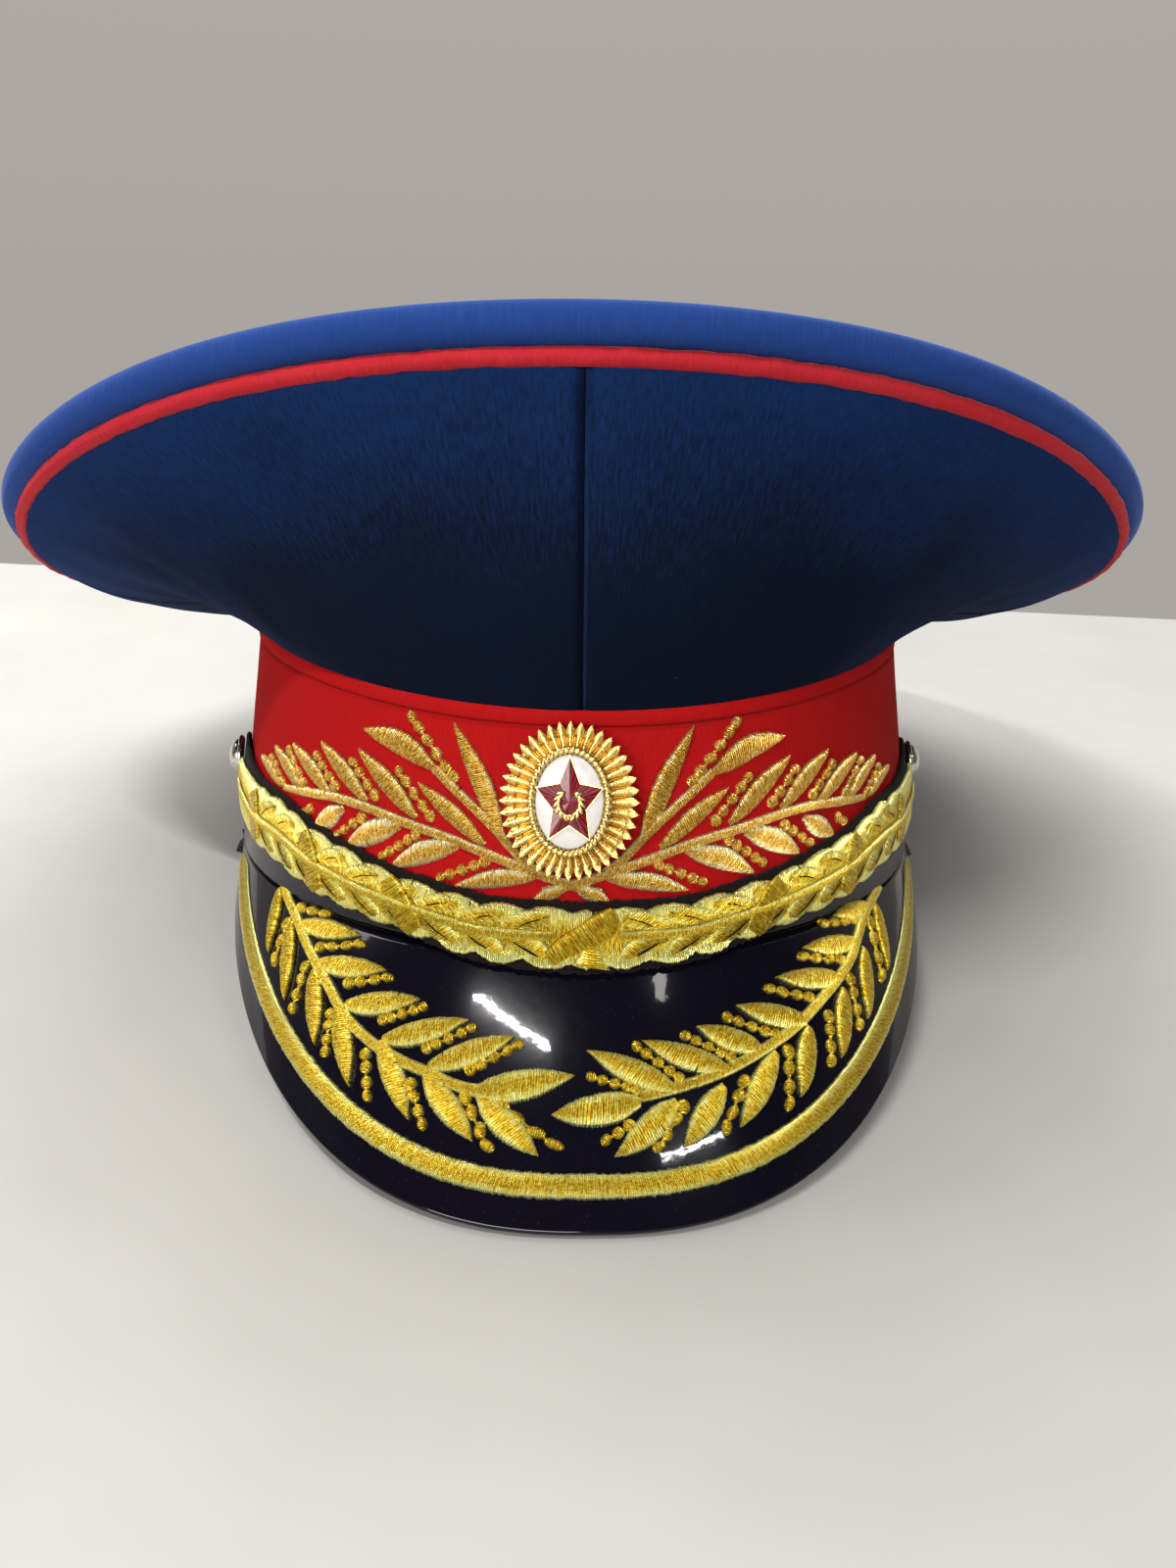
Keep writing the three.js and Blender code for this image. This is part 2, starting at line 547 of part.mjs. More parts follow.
function spray(surface, stems, leaves, chains) {
  const stemWidths = (stem) => stem.map(() => stitch.stem.width);
  const strips = stems.map((stem, i) => raisedStrip(
    surface, stem, stemWidths(stem), stitch.stem.height, stitch.stem.lift + stitch.stem.step * i));
  leaves.forEach(({ base, tip, width }) => {
    const root = nearestOnStems(surface, stems, base);
    const route = [root, ...leafOutline.map(({ along }) => between(base, tip, along))];
    const widths = [leafOutline[0], ...leafOutline].map(({ share }) => share * width);
    const apart = surface(root, 0).distanceTo(surface(base, 0)) > stitch.joinedWithin;
    strips.push(raisedStrip(surface, apart ? route : route.slice(1), apart ? widths : widths.slice(1),
      stitch.leaf.height, stitch.leaf.lift));
  });
  chains.forEach(({ base, tip }) => {
    const root = nearestOnStems(surface, stems, base);
    const route = [root, between(base, tip, 0.5), tip];
    const widths = stitch.chain.taper.map((share) => share * stitch.chain.width);
    strips.push(raisedStrip(surface, route, widths, stitch.chain.height, stitch.chain.lift));
  });
  const joined = strips.map(toManifold).reduce((whole, strip) => whole.add(strip));
  if (joined.decompose().length !== 1) throw new Error('a leaf or chain of a spray touches no stem');
  const clear = joined.subtract(strapRoom).decompose();
  const largest = clear.reduce((best, piece) => (piece.volume() > best.volume() ? piece : best));
  const { vertProperties, triVerts } = largest.simplify(stitch.finest).getMesh();
  const geometry = new THREE.BufferGeometry();
  geometry.setAttribute('position', new THREE.BufferAttribute(vertProperties, 3));
  geometry.setIndex(new THREE.BufferAttribute(triVerts, 1));
  geometry.computeVertexNormals();
  return geometry;
}

for (const [name, side] of [['band_laurel_right', -1], ['band_laurel_left', 1]]) {
  addPiece(name, spray(onBand(side), [bandStem, bandTwig], bandLeaves, bandChains), finish.goldThread);
}
addPiece('peak_laurel_right', spray(onPeak, [leftPeakStem], leftPeakLeaves, []), finish.goldThread);
addPiece('peak_laurel_left', spray(onPeak, [rightPeakStem], rightPeakLeaves, []), finish.goldThread);

// ---------------------------------------------------------------- at rest
// The cap tips back until the peak's tip and the back of the band stand on one level.
const centreFacet = peak.endAngle * degrees / peak.facets;
const tip = peakPoint(centreFacet, 1, -peak.thickness);
const heel = bandPoint(PI - PI / ringFacets, 0);
cap.rotation.x = -atan2(heel.z - tip.z, heel.y - tip.y);
cap.updateMatrixWorld(true);
const box = new THREE.Box3().setFromObject(cap, true);
cap.position.set(-(box.min.x + box.max.x) / 2, -(box.min.y + box.max.y) / 2, -box.min.z);

const group = new THREE.Group();
group.name = 'peaked_cap';
group.add(cap);

export default group;
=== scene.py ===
"""A general's peaked cap, standing on the tip of its peak and the back of its band."""
import bisect
import json
import random
from math import acos, atan2, cos, hypot, pi, radians, sin, sqrt, tau

import bmesh
import bpy
from mathutils import Matrix, Vector, noise


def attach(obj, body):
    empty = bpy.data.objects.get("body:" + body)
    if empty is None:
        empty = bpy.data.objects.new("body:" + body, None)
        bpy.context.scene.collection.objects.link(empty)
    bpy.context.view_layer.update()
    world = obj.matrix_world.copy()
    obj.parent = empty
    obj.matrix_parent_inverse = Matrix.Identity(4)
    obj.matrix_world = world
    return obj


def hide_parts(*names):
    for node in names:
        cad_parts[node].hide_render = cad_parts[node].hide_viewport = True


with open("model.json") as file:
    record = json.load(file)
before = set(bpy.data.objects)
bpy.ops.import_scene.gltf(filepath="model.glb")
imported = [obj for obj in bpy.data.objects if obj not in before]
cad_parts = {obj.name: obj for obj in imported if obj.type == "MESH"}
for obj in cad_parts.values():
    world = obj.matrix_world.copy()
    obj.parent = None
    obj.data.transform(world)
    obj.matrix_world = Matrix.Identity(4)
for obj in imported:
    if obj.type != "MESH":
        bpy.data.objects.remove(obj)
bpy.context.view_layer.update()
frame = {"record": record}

MM = 0.001
BODY = "root"
UP = Vector((0, 0, 1))


def axes(x, y, z, origin):
    """The matrix of a frame with these axes and this origin."""
    matrix = Matrix((x, y, z)).transposed().to_4x4()
    matrix.translation = origin
    return matrix


# ---- the cap's own frame
# The cap is drawn upright, in millimetres: x to the wearer's left, y to the back, z up, with the
# band's lower edge at z = 0. The frame's head_seat mount says where that edge's centre stands and
# which way it faces at rest.
seat = next(mount for mount in frame["record"]["mounts"] if mount["name"] == "head_seat")
cap_up = -Vector(seat["axis"]).normalized()
cap_back = cap_up.cross(Vector((1, 0, 0))).normalized()
AT_REST = axes(Vector((1, 0, 0)), cap_back, cap_up, Vector(seat["pos_m"]))

# ---- driving sizes: millimetres, degrees, and shares of what they belong to
BAND = dict(half_width=84.5, half_length=100.6, front_height=43.4, side_rise=8.1, top_scale=0.923, wall=2.4)
WELT = dict(height=2.7, proud=0.55)
CROWN = dict(
    half_width=140.2, half_length=131.4, back_shift=25.2, corner=0.035, height=69.4, front_lift=27.5,
    saddle=10.1, quarter_droop=3.0, wall=2.0, foot_rise=0.1, head_drop=1.8, neck=5, sag=13,
    neck_share=0.1, sag_share=0.34, top_sag=2.0, front_seam=-0.012,
)
PIPING = dict(half_width=1.75, half_height=1.6, drop=0.5)
# the top's section, as distances in from the crown's edge and heights over it
ROLL_TOPSIDE = [
    (-0.4, 0.95), (-2.9, 1.7), (-4.4, 4.0), (-3.8, 6.6), (-1.3, 8.0), (3, 8.1), (9, 7.0), (18, 6.0),
    (50, 5.4)]
ROLL_UNDERSIDE = [(50, 3.4), (18, 4.0), (6, 2.4), (1, 1.2)]
PEAK = dict(
    half_width=82.6, root_y=-12.4, reach=121.6, drop=36.0, width_power=0.825, drop_power=1.1,
    thickness=2.4, bulge=1.5, end_angle=84, gap=0.3, lip=0.012, longest_lip=1.1,
)
BORDER = dict(inset=5.0, width=4.2, lift=0.1, height=0.9, outer_end=76, inner_end=69)
BADGE_SHIFT = -2.8  # of the badge and the laurels, along the band
BUTTON_ALONG = 124
WELD = 0.0004  # points nearer than this are one


# ---- the band's surface
def band_top(angle):
    """The band's height, which is greater at the sides."""
    return BAND["front_height"] + BAND["side_rise"] * sin(angle) ** 2


def band_out(angle):
    return Vector((sin(angle) / BAND["half_width"], -cos(angle) / BAND["half_length"], 0)).normalized()


def band_point(angle, height, lift=0.0):
    """A point on the band: the angle goes round from the front, to the wearer's left."""
    scale = 1 + (BAND["top_scale"] - 1) * height / band_top(angle)
    x = BAND["half_width"] * scale * sin(angle)
    y = -BAND["half_length"] * scale * cos(angle)
    return Vector((x, y, height)) + band_out(angle) * lift


# Distances along the band's edge from the front, for evenly stepped angles.
ARC_STEPS = 720
ARC_STEP = pi / ARC_STEPS
ARC = [0.0]
for i in range(ARC_STEPS):
    middle = (i + 0.5) * ARC_STEP
    speed = hypot(BAND["half_width"] * cos(middle), BAND["half_length"] * sin(middle))
    ARC.append(ARC[-1] + ARC_STEP * speed)


def band_angle(along):
    """The angle round the band at a distance along its edge from the front."""
    i = bisect.bisect_right(ARC, abs(along)) - 1
    angle = (i + (abs(along) - ARC[i]) / (ARC[i + 1] - ARC[i])) * ARC_STEP
    return angle if along > 0 else -angle


# ---- the crown's surfaces
def crown_sheet(angle, share):
    """The saddle that the crown's top lies on, from its middle, share 0, to its edge, share 1."""
    corner = 1 - CROWN["corner"] * sin(2 * angle) ** 2 * (1 + cos(angle)) / 2
    reach = share * corner
    lift = CROWN["front_lift"] * share * cos(angle) + CROWN["saddle"] * share ** 2 * cos(2 * angle)
    droop = CROWN["quarter_droop"] * share ** 3 * cos(3 * angle)
    return Vector((
        CROWN["half_width"] * reach * sin(angle),
        CROWN["back_shift"] - CROWN["half_length"] * reach * cos(angle),
        CROWN["height"] + lift - droop,
    ))


def upright_normal(surface, u, v, step=0.001):
    """The upper normal of a surface of two values."""
    normal = (surface(u + step, v) - surface(u - step, v)).cross(surface(u, v + step) - surface(u, v - step))
    return normal.normalized() if normal.z > 0 else -normal.normalized()


def crown_top_point(angle, inset, height):
    """A point of the top: straight over the sheet at its edge, upright towards its middle."""
    radius = (crown_sheet(angle, 1) - crown_sheet(angle, 0)).length
    share = max(0, 1 - inset / radius)
    normal = UP.lerp(upright_normal(crown_sheet, angle, 1), min(share, 1)).normalized()
    return crown_sheet(angle, share) + normal * height


def wall_point(angle, share):
    """A point of the crown's wall, which flares from the band's top to the crown's edge."""
    foot = band_point(angle, band_top(angle) + CROWN["foot_rise"])
    head = crown_sheet(angle, 1) - UP * CROWN["head_drop"]
    spread = hypot(head.x - foot.x, head.y - foot.y)
    neck = foot + band_out(angle) * CROWN["neck_share"] * spread + UP * CROWN["neck"]
    sag = head - band_out(angle) * CROWN["sag_share"] * spread - UP * CROWN["sag"]
    rest = 1 - share
    return foot * rest ** 3 + neck * 3 * share * rest ** 2 + sag * 3 * share ** 2 * rest + head * share ** 3


def wall_normal(angle, share, step=0.001):
    around = wall_point(angle + step, share) - wall_point(angle - step, share)
    upward = wall_point(angle, min(share + step, 1)) - wall_point(angle, max(share - step, 0))
    return around.cross(upward).normalized()


# ---- the peak's surface
def peak_root(angle):
    end = acos(-PEAK["root_y"] / BAND["half_length"])
    return band_point(angle * end / (pi / 2), 0) - UP * PEAK["gap"]


def peak_rim(angle):
    swing = abs(cos(angle)) ** PEAK["drop_power"]
    side = abs(sin(angle)) ** PEAK["width_power"]
    x = PEAK["half_width"] * (side if angle > 0 else -side)
    return Vector((x, PEAK["root_y"] - PEAK["reach"] * swing, -PEAK["gap"] - PEAK["drop"] * swing))


FRONT_RULING = (peak_rim(0) - peak_root(0)).length


def peak_surface(angle, share):
    """The peak's upper face, ruled from the band, share 0, to the rim, share 1, and a little swollen."""
    root = peak_root(angle)
    ruling = peak_rim(angle) - root
    normal = -Vector((cos(angle), sin(angle), 0)).cross(ruling).normalized()
    if normal.z < 0:
        normal.negate()
    swell = 4 * PEAK["bulge"] * share * (1 - share) * ruling.length / FRONT_RULING
    return root + ruling * share + normal * swell


def peak_normal(angle, share):
    return upright_normal(peak_surface, angle, share, 0.002)


def peak_point(angle, share, lift):
    return peak_surface(angle, share) + peak_normal(angle, share) * lift


RIM_SAMPLES = [peak_rim(radians(degree / 2)) for degree in range(-180, 181)]


def peak_inset(angle, distance):
    """The share of the way to the rim, on a ruling, at a distance in from the rim."""
    near, far = 0.0, 1.0
    for halving in range(14):
        share = (near + far) / 2
        place = peak_surface(angle, share)
        if min((sample - place).length_squared for sample in RIM_SAMPLES) > distance ** 2:
            near = share
        else:
            far = share
    return near


# ---- mesh tools
def mix(a, b, t):
    return a + (b - a) * t


def smooth_path(points, share):
    """A point on the smooth curve through a list of points of any number of values."""
    place = min(max(share, 0), 1) * (len(points) - 1)
    i = min(int(place), len(points) - 2)
    t = place - i
    before, start, end, after = (points[min(max(k, 0), len(points) - 1)] for k in (i - 1, i, i + 1, i + 2))
    return [
        ((2 * q) + (r - p) * t + (2 * p - 5 * q + 4 * r - s) * t * t + (3 * q - p - 3 * r + s) * t ** 3) / 2
        for p, q, r, s in zip(before, start, end, after)
    ]


def unevenness(u, v, w, amount):
    """The slow rise and fall of cloth over what holds it, in millimetres."""
    return amount * noise.noise(Vector((u, v, w)))


def uv_layer(mesh):
    return mesh.loops.layers.uv.get("UVMap") or mesh.loops.layers.uv.new("UVMap")


def faces_of(verts):
    return {face for vert in verts for face in vert.link_faces}


def bend(mesh, columns, rows, place, chart):
    """Adds a grid bent by place(u, v), u and v from 0 to 1, joined where its edges meet, its ends closed.

    chart(u, v) gives the surface's own coordinates, in millimetres: those of an inside are shifted
    well clear of its outside's.
    """
    layer = uv_layer(mesh)
    verts = bmesh.ops.create_grid(mesh, x_segments=columns, y_segments=rows, size=0.5, calc_uvs=True)["verts"]
    for face in faces_of(verts):
        face.smooth = True
        for loop in face.loops:
            loop[layer].uv = chart(*loop[layer].uv)
    for vert in verts:
        vert.co = place(vert.co.x + 0.5, vert.co.y + 0.5)
    bmesh.ops.remove_doubles(mesh, verts=verts, dist=WELD)
    bmesh.ops.holes_fill(mesh, edges=[edge for edge in mesh.edges if edge.is_boundary], sides=0)


def add_object(name, data):
    made = bpy.data.objects.new(name, data)
    bpy.context.scene.collection.objects.link(made)
    return made


def add_mesh(name, mesh, material):
    data = bpy.data.meshes.new(name)
    mesh.to_mesh(data)
    mesh.free()
    data.materials.append(material)
    return add_object(name, data)


def finish_piece(mesh, name, material, node_name, at=Matrix()):
    """Turns a bmesh into a piece that stands for a CAD node: at is its place in the cap's frame."""
    bmesh.ops.transform(mesh, matrix=at, verts=mesh.verts)
    bmesh.ops.recalc_face_normals(mesh, faces=mesh.faces)
    if mesh.calc_volume(signed=True) < 0:
        bmesh.ops.reverse_faces(mesh, faces=mesh.faces)
    bmesh.ops.transform(mesh, matrix=AT_REST @ Matrix.Scale(MM, 4), verts=mesh.verts)
    piece = add_mesh(name, mesh, material)
    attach(piece, BODY)
    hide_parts(node_name)
    return piece


# ---- materials
COLOUR_A, COLOUR_B = 6, 7  # the colour inputs of a Mix node
MIXED_COLOUR = 2  # and its colour output
WAVE_PERIOD = tau / 20  # of a wave texture at scale 1
EDGE = 2.0  # V of a satin stitch at the ends of its threads, where they are painted palest as painted highlight
SHADED_WRAP_SPAN = 0.8  # a smaller V for the wraps and the knot, which gives their threads painted shade and no painted highlight at their ends


def linear(code):
    """An sRGB hex code as a linear colour."""
    parts = [int(code[i:i + 2], 16) / 255 for i in (1, 3, 5)]
    return (*(c / 12.92 if c <= 0.04045 else ((c + 0.055) / 1.055) ** 2.4 for c in parts), 1)


def output(source):
    """A node's first output, or the output that is given."""
    return source.outputs[0] if isinstance(source, bpy.types.Node) else source


def node(tree, kind, inputs=(), stops=(), **settings):
    """Adds a node, with its settings, its colour stops, and values, nodes or outputs on its inputs."""
    made = tree.nodes.new("ShaderNode" + kind)
    for name, value in settings.items():
        setattr(made, name, value)
    for position, code in stops[2:]:
        made.color_ramp.elements.new(position)
    for place, (position, code) in enumerate(stops):
        made.color_ramp.elements[place].position = position
        made.color_ramp.elements[place].color = linear(code)
    for socket, value in dict(inputs).items():
        if isinstance(value, (bpy.types.Node, bpy.types.NodeSocket)):
            tree.links.new(output(value), made.inputs[socket])
        else:
            made.inputs[socket].default_value = value
    return made


def new_material(name, **shader):
    """Makes a material with these values on its shader; gives it, its node tree and its shader."""
    material = bpy.data.materials.new(name)
    material.use_nodes = True
    tree = material.node_tree
    surface = tree.nodes["Principled BSDF"]
    for socket, value in shader.items():
        surface.inputs[socket.replace("_", " ")].default_value = value
    return material, tree, surface


def join(surface, **sources):
    """Links nodes or outputs to a shader's sockets."""
    for socket, source in sources.items():
        surface.id_data.links.new(output(source), surface.inputs[socket.replace("_", " ")])


def wool(name, shade, base, light, sheen_code, sheen, rise=0.0):
    """Milled and napped wool broadcloth: a dense felt-like face with short fibres lying one way, a
    ghost of the twill under them, a soft halo at grazing angles, and a few specks of lint. Painted
    light and shade: the colour is painted lighter higher up and darker lower down; rise is how much, over 60
    mm."""
    tuft = 0.5  # single fibres are 0.02 mm thick: tufts of them are as fine as shows
    blotch_size = 30
    twill_pitch = 1.1
    lint_spacing = 12
    material, tree, surface = new_material(
        name, Roughness=0.95, Sheen_Weight=sheen, Sheen_Roughness=0.3, Sheen_Tint=linear(sheen_code),
        Specular_IOR_Level=0.06)
    place = node(tree, "UVMap", uv_map="UVMap")
    nap = node(tree, "Mapping", {"Vector": place, "Scale": (1, 0.16, 1)})
    fibres = node(tree, "TexNoise", {"Vector": nap, "Scale": 1 / tuft, "Detail": 4, "Roughness": 0.7})
    blotch = node(tree, "TexNoise", {
        "Vector": place, "Scale": 1 / blotch_size, "Detail": 3, "Roughness": 0.5})
    twill = node(tree, "TexWave", {
        "Vector": place, "Scale": WAVE_PERIOD / twill_pitch, "Distortion": 1.2, "Detail": 2,
        "Detail Scale": 2.0,
    }, bands_direction="X")
    tone = node(tree, "Mix", {"Factor": 0.3, "A": fibres, "B": blotch})
    upward = node(tree, "SeparateXYZ", {"Vector": place})
    # painted light and shade: the colour is lighter higher up the chart and darker lower down, by rise
    painted_light_by_height = node(tree, "MapRange", {
        "Value": upward.outputs["Y"], "From Min": 18, "From Max": 78, "To Min": -rise / 2, "To Max": rise})
    level = node(tree, "Math", {0: tone, 1: painted_light_by_height}, operation="ADD")
    colour = node(tree, "ValToRGB", {"Fac": level}, [(0.0, shade), (0.5, base), (1.0, light)])
    lint = node(tree, "TexVoronoi", {"Vector": place, "Scale": 1 / lint_spacing})
    speck = node(tree, "MapRange", {
        "Value": lint, "From Min": 0.01, "From Max": 0.024, "To Min": 0.45, "To Max": 0.0})
    dusted = node(tree, "Mix", {
        "Factor": speck, COLOUR_A: colour, COLOUR_B: linear("#a8acb8"),
    }, data_type="RGBA")
    ridge = node(tree, "Math", {0: twill.outputs["Fac"], 1: 0.12}, operation="MULTIPLY")
    relief = node(tree, "Math", {0: fibres, 1: ridge}, operation="ADD")
    bump = node(tree, "Bump", {"Height": relief, "Strength": 0.6, "Distance": 0.25 * MM})
    join(surface, Base_Color=dusted.outputs[MIXED_COLOUR], Normal=bump)
    return material


def metal_thread(name, shade, base, light):
    """Metallised thread in satin stitch: foil-wound threads laid side by side over a padding, pale
    yellow where they catch the light, deep orange gold where they don't, with a dark slit here and
    there where two threads part, painted shade in the grooves between threads, and glints painted
    into the colour. The threads run along V, so the gloss spreads along U, and their ends are
    painted palest, a painted highlight, their middles darker, painted shade."""
    pitch = 0.38  # of the threads
    glint = 0.45  # the foil glitters in spots of 0.1 mm, drawn this wide so that they show: painted glints in the colour, and bumps
    material, tree, surface = new_material(
        name, Metallic=0.85, Roughness=0.3, Anisotropic=0.7, Specular_IOR_Level=0.1)
    place = node(tree, "UVMap", uv_map="UVMap")
    lines = node(tree, "TexWave", {
        "Vector": place, "Scale": WAVE_PERIOD / pitch, "Distortion": 1.0, "Detail": 2, "Detail Scale": 1.5,
    }, bands_direction="X")
    long_way = node(tree, "Mapping", {"Vector": place, "Scale": (1 / pitch, 0.4, 1)})
    strands = node(tree, "TexNoise", {"Vector": long_way, "Scale": 1.1, "Detail": 2})
    glints_painted_and_bumped = node(tree, "TexNoise", {"Vector": place, "Scale": 1 / glint, "Detail": 3, "Roughness": 0.8})
    tone = node(tree, "Mix", {"Factor": 0.6, "A": strands, "B": glints_painted_and_bumped})
    across = node(tree, "SeparateXYZ", {"Vector": place})
    reach = node(tree, "Math", {0: across.outputs["Y"]}, operation="ABSOLUTE")
    # painted highlight at the threads' ends, where V is large, and painted shade towards their middles
    painted_end_highlight = node(tree, "MapRange", {
        "Value": reach, "From Min": 0.3 * EDGE, "From Max": EDGE, "To Min": -0.045, "To Max": 0.13})
    level = node(tree, "Math", {0: tone, 1: painted_end_highlight}, operation="ADD")
    colour = node(tree, "ValToRGB", {"Fac": level}, [(0.38, shade), (0.49, base), (0.6, light)])
    # painted shade in the grooves between threads
    painted_groove_shade = node(tree, "MapRange", {"Value": lines.outputs["Fac"], "From Max": 0.25, "To Min": 0.6})
    parting = node(tree, "Mapping", {"Vector": place, "Scale": (1.1, 0.12, 1), "Location": (7, 3, 0)})
    partings = node(tree, "TexNoise", {"Vector": parting, "Scale": 1.0, "Detail": 1})
    slits = node(tree, "MapRange", {
        "Value": partings, "From Min": 0.74, "From Max": 0.70, "To Min": 0.1})
    # the painted groove shade together with the real dark partings
    dark = node(tree, "Math", {0: painted_groove_shade, 1: slits}, operation="MULTIPLY")
    shaded = node(tree, "Mix", {
        "Factor": 1.0, COLOUR_A: colour, COLOUR_B: dark,
    }, data_type="RGBA", blend_type="MULTIPLY")
    relief = node(tree, "Math", {0: lines.outputs["Fac"], 1: glints_painted_and_bumped}, operation="ADD")
    bump = node(tree, "Bump", {"Height": relief, "Strength": 1.0, "Distance": 0.2 * MM})
    tangent = node(tree, "Tangent", direction_type="UV_MAP", uv_map="UVMap")
    join(surface, Base_Color=shaded.outputs[MIXED_COLOUR], Normal=bump, Tangent=tangent)
    return material


def lacquer():
    """Black lacquered leather: poured and polished, so all its shine is in the clear coat, a deep
    mirror gloss with a slow waviness and a little dust in it."""
    waviness, pucker_size, dust_size = 9 * MM, 1.6 * MM, 0.35 * MM
    material, tree, surface = new_material(
        "black_lacquered_leather", Roughness=0.17, Specular_IOR_Level=0.05, Coat_Weight=0.5,
        Coat_Roughness=0.04)
    place = node(tree, "TexCoord").outputs["Object"]
    wave = node(tree, "TexNoise", {"Vector": place, "Scale": 1 / waviness, "Detail": 2})
    pucker = node(tree, "TexNoise", {"Vector": place, "Scale": 1 / pucker_size, "Detail": 1})
    dust = node(tree, "TexNoise", {"Vector": place, "Scale": 1 / dust_size, "Detail": 1})
    specks = node(tree, "MapRange", {"Value": dust, "From Min": 0.72, "From Max": 0.82})
    colour = node(tree, "Mix", {
        "Factor": specks, COLOUR_A: linear("#0a0812"), COLOUR_B: linear("#34303f"),
    }, data_type="RGBA")
    height = node(tree, "Math", {0: pucker, 1: 0.12}, operation="MULTIPLY")
    relief = node(tree, "Math", {0: wave, 1: height}, operation="ADD")
    bump = node(tree, "Bump", {"Height": relief, "Strength": 0.2, "Distance": 0.25 * MM})
    join(surface, Base_Color=colour.outputs[MIXED_COLOUR], Normal=bump, Coat_Normal=bump)
    return material


def felt():
    """Black pressed felt: no sheen to speak of, and a fuzzy cut edge."""
    tuft = 0.5 * MM  # its fibres are 0.02 mm thick: tufts of them are as fine as shows
    material, tree, surface = new_material(
        "black_pressed_felt", Roughness=0.95, Sheen_Weight=0.04, Sheen_Roughness=0.5, Specular_IOR_Level=0.05)
    place = node(tree, "TexCoord").outputs["Object"]
    fibres = node(tree, "TexNoise", {"Vector": place, "Scale": 1 / tuft, "Detail": 4, "Roughness": 0.7})
    colour = node(tree, "ValToRGB", {"Fac": fibres}, [(0.35, "#0b0808"), (0.7, "#1e1715")])
    bump = node(tree, "Bump", {"Height": fibres, "Strength": 0.7, "Distance": 0.2 * MM})
    join(surface, Base_Color=colour, Normal=bump)
    return material


def gilt():
    """Gilt brass, stamped and polished: bright faces, browner in the hollows where the polish stays."""
    wear_size = 1.2 * MM
    material, tree, surface = new_material("gilt_stamped_brass", Metallic=1.0, Roughness=0.26)
    place = node(tree, "TexCoord").outputs["Object"]
    wear = node(tree, "TexNoise", {"Vector": place, "Scale": 1 / wear_size, "Detail": 3})
    crease = node(tree, "NewGeometry").outputs["Pointiness"]
    hollow = node(tree, "MapRange", {"Value": crease, "From Min": 0.44, "From Max": 0.52})
    tone = node(tree, "Mix", {"Factor": 0.3, "A": hollow, "B": wear})
    colour = node(tree, "ValToRGB", {"Fac": tone}, [
        (0.1, "#573a0b"), (0.5, "#b68a34"), (0.9, "#e8cd82")])
    rough = node(tree, "MapRange", {"Value": wear, "To Min": 0.18, "To Max": 0.38})
    join(surface, Base_Color=colour, Roughness=rough)
    return material


def nickel():
    """Nickel-silver button: a polished white metal with fine handling marks."""
    mark_size = 0.8 * MM
    material, tree, surface = new_material("polished_nickel_silver", Metallic=1.0, Roughness=0.2)
    place = node(tree, "TexCoord").outputs["Object"]
    marks = node(tree, "TexNoise", {"Vector": place, "Scale": 1 / mark_size, "Detail": 3})
    colour = node(tree, "ValToRGB", {"Fac": marks}, [(0.35, "#bdb8a8"), (0.65, "#e4e1d8")])
    rough = node(tree, "MapRange", {"Value": marks, "To Min": 0.12, "To Max": 0.34})
    join(surface, Base_Color=colour, Roughness=rough)
    return material


def enamel(name, shade, base, melt_size, coat, rib):
    """Vitreous enamel fired in a cell: glassy, slightly uneven where it melted, and darker over
    the stamped ribs under it, where rib is how strongly they show."""
    rib_pitch = 0.7
    material, tree, surface = new_material(
        name, Roughness=0.3, Specular_IOR_Level=0.3, Coat_Weight=coat, Coat_Roughness=0.06)
    place = node(tree, "TexCoord").outputs["Object"]
    melt = node(tree, "TexNoise", {"Vector": place, "Scale": 1 / (melt_size * MM), "Detail": 2})
    spread = node(tree, "UVMap", uv_map="UVMap")
    ribs = node(tree, "TexWave", {
        "Vector": spread, "Scale": WAVE_PERIOD / rib_pitch}, bands_direction="X")
    tone = node(tree, "Mix", {"Factor": rib, "A": melt, "B": ribs.outputs["Fac"]})
    colour = node(tree, "ValToRGB", {"Fac": tone}, [(0.3, shade), (0.7, base)])
    bump = node(tree, "Bump", {"Height": tone, "Strength": 0.15, "Distance": 0.1 * MM})
    join(surface, Base_Color=colour, Normal=bump)
    return material


# the wall cloth is painted lighter towards the top of the wall and darker towards its foot, as painted light
# and shade
WALL_WOOL = wool("navy_wool_broadcloth", "#040812", "#070f21", "#122b5a", "#4a70c0", 0.12, 0.4)
# a lighter copy of the navy wall cloth: painted light on the crown's top and roll
LIT_TOP_WOOL = wool("blue_wool_broadcloth_painted_lighter", "#172c5c", "#1d3874", "#29488e", "#8fa6f0", 0.4)
RED_WOOL = wool("scarlet_wool_broadcloth", "#7e0b0e", "#930e10", "#a91616", "#ff7060", 0.08)
# a lighter, pinker copy of the scarlet band cloth: real sheen on the fuzz, and more of its sheen painted into
# the colour
LIT_PIPING_WOOL = wool("scarlet_wool_piping_painted_lighter", "#8a1620", "#a4222b", "#ba3a44", "#ffa0a0", 0.25)
METAL_THREAD = metal_thread("metallised_thread_satin_stitch", "#bd800c", "#f6da3a", "#ffffac")
# a warmer, oranger copy of the same thread for the band's laurels: painted light bounced off the red band
RED_BOUNCE_THREAD = metal_thread("metallised_thread_satin_stitch_red_bounce", "#b87410", "#fbcc54", "#fff9cc")
LACQUER = lacquer()
FELT = felt()
GILT = gilt()
NICKEL = nickel()
WHITE_ENAMEL = enamel("opaque_white_vitreous_enamel", "#c2bfbd", "#cdcac8", 3.0, 0.5, 0.0)
RED_ENAMEL = enamel("translucent_ruby_vitreous_enamel", "#2e040c", "#8c0c24", 0.8, 0.25, 0.5)


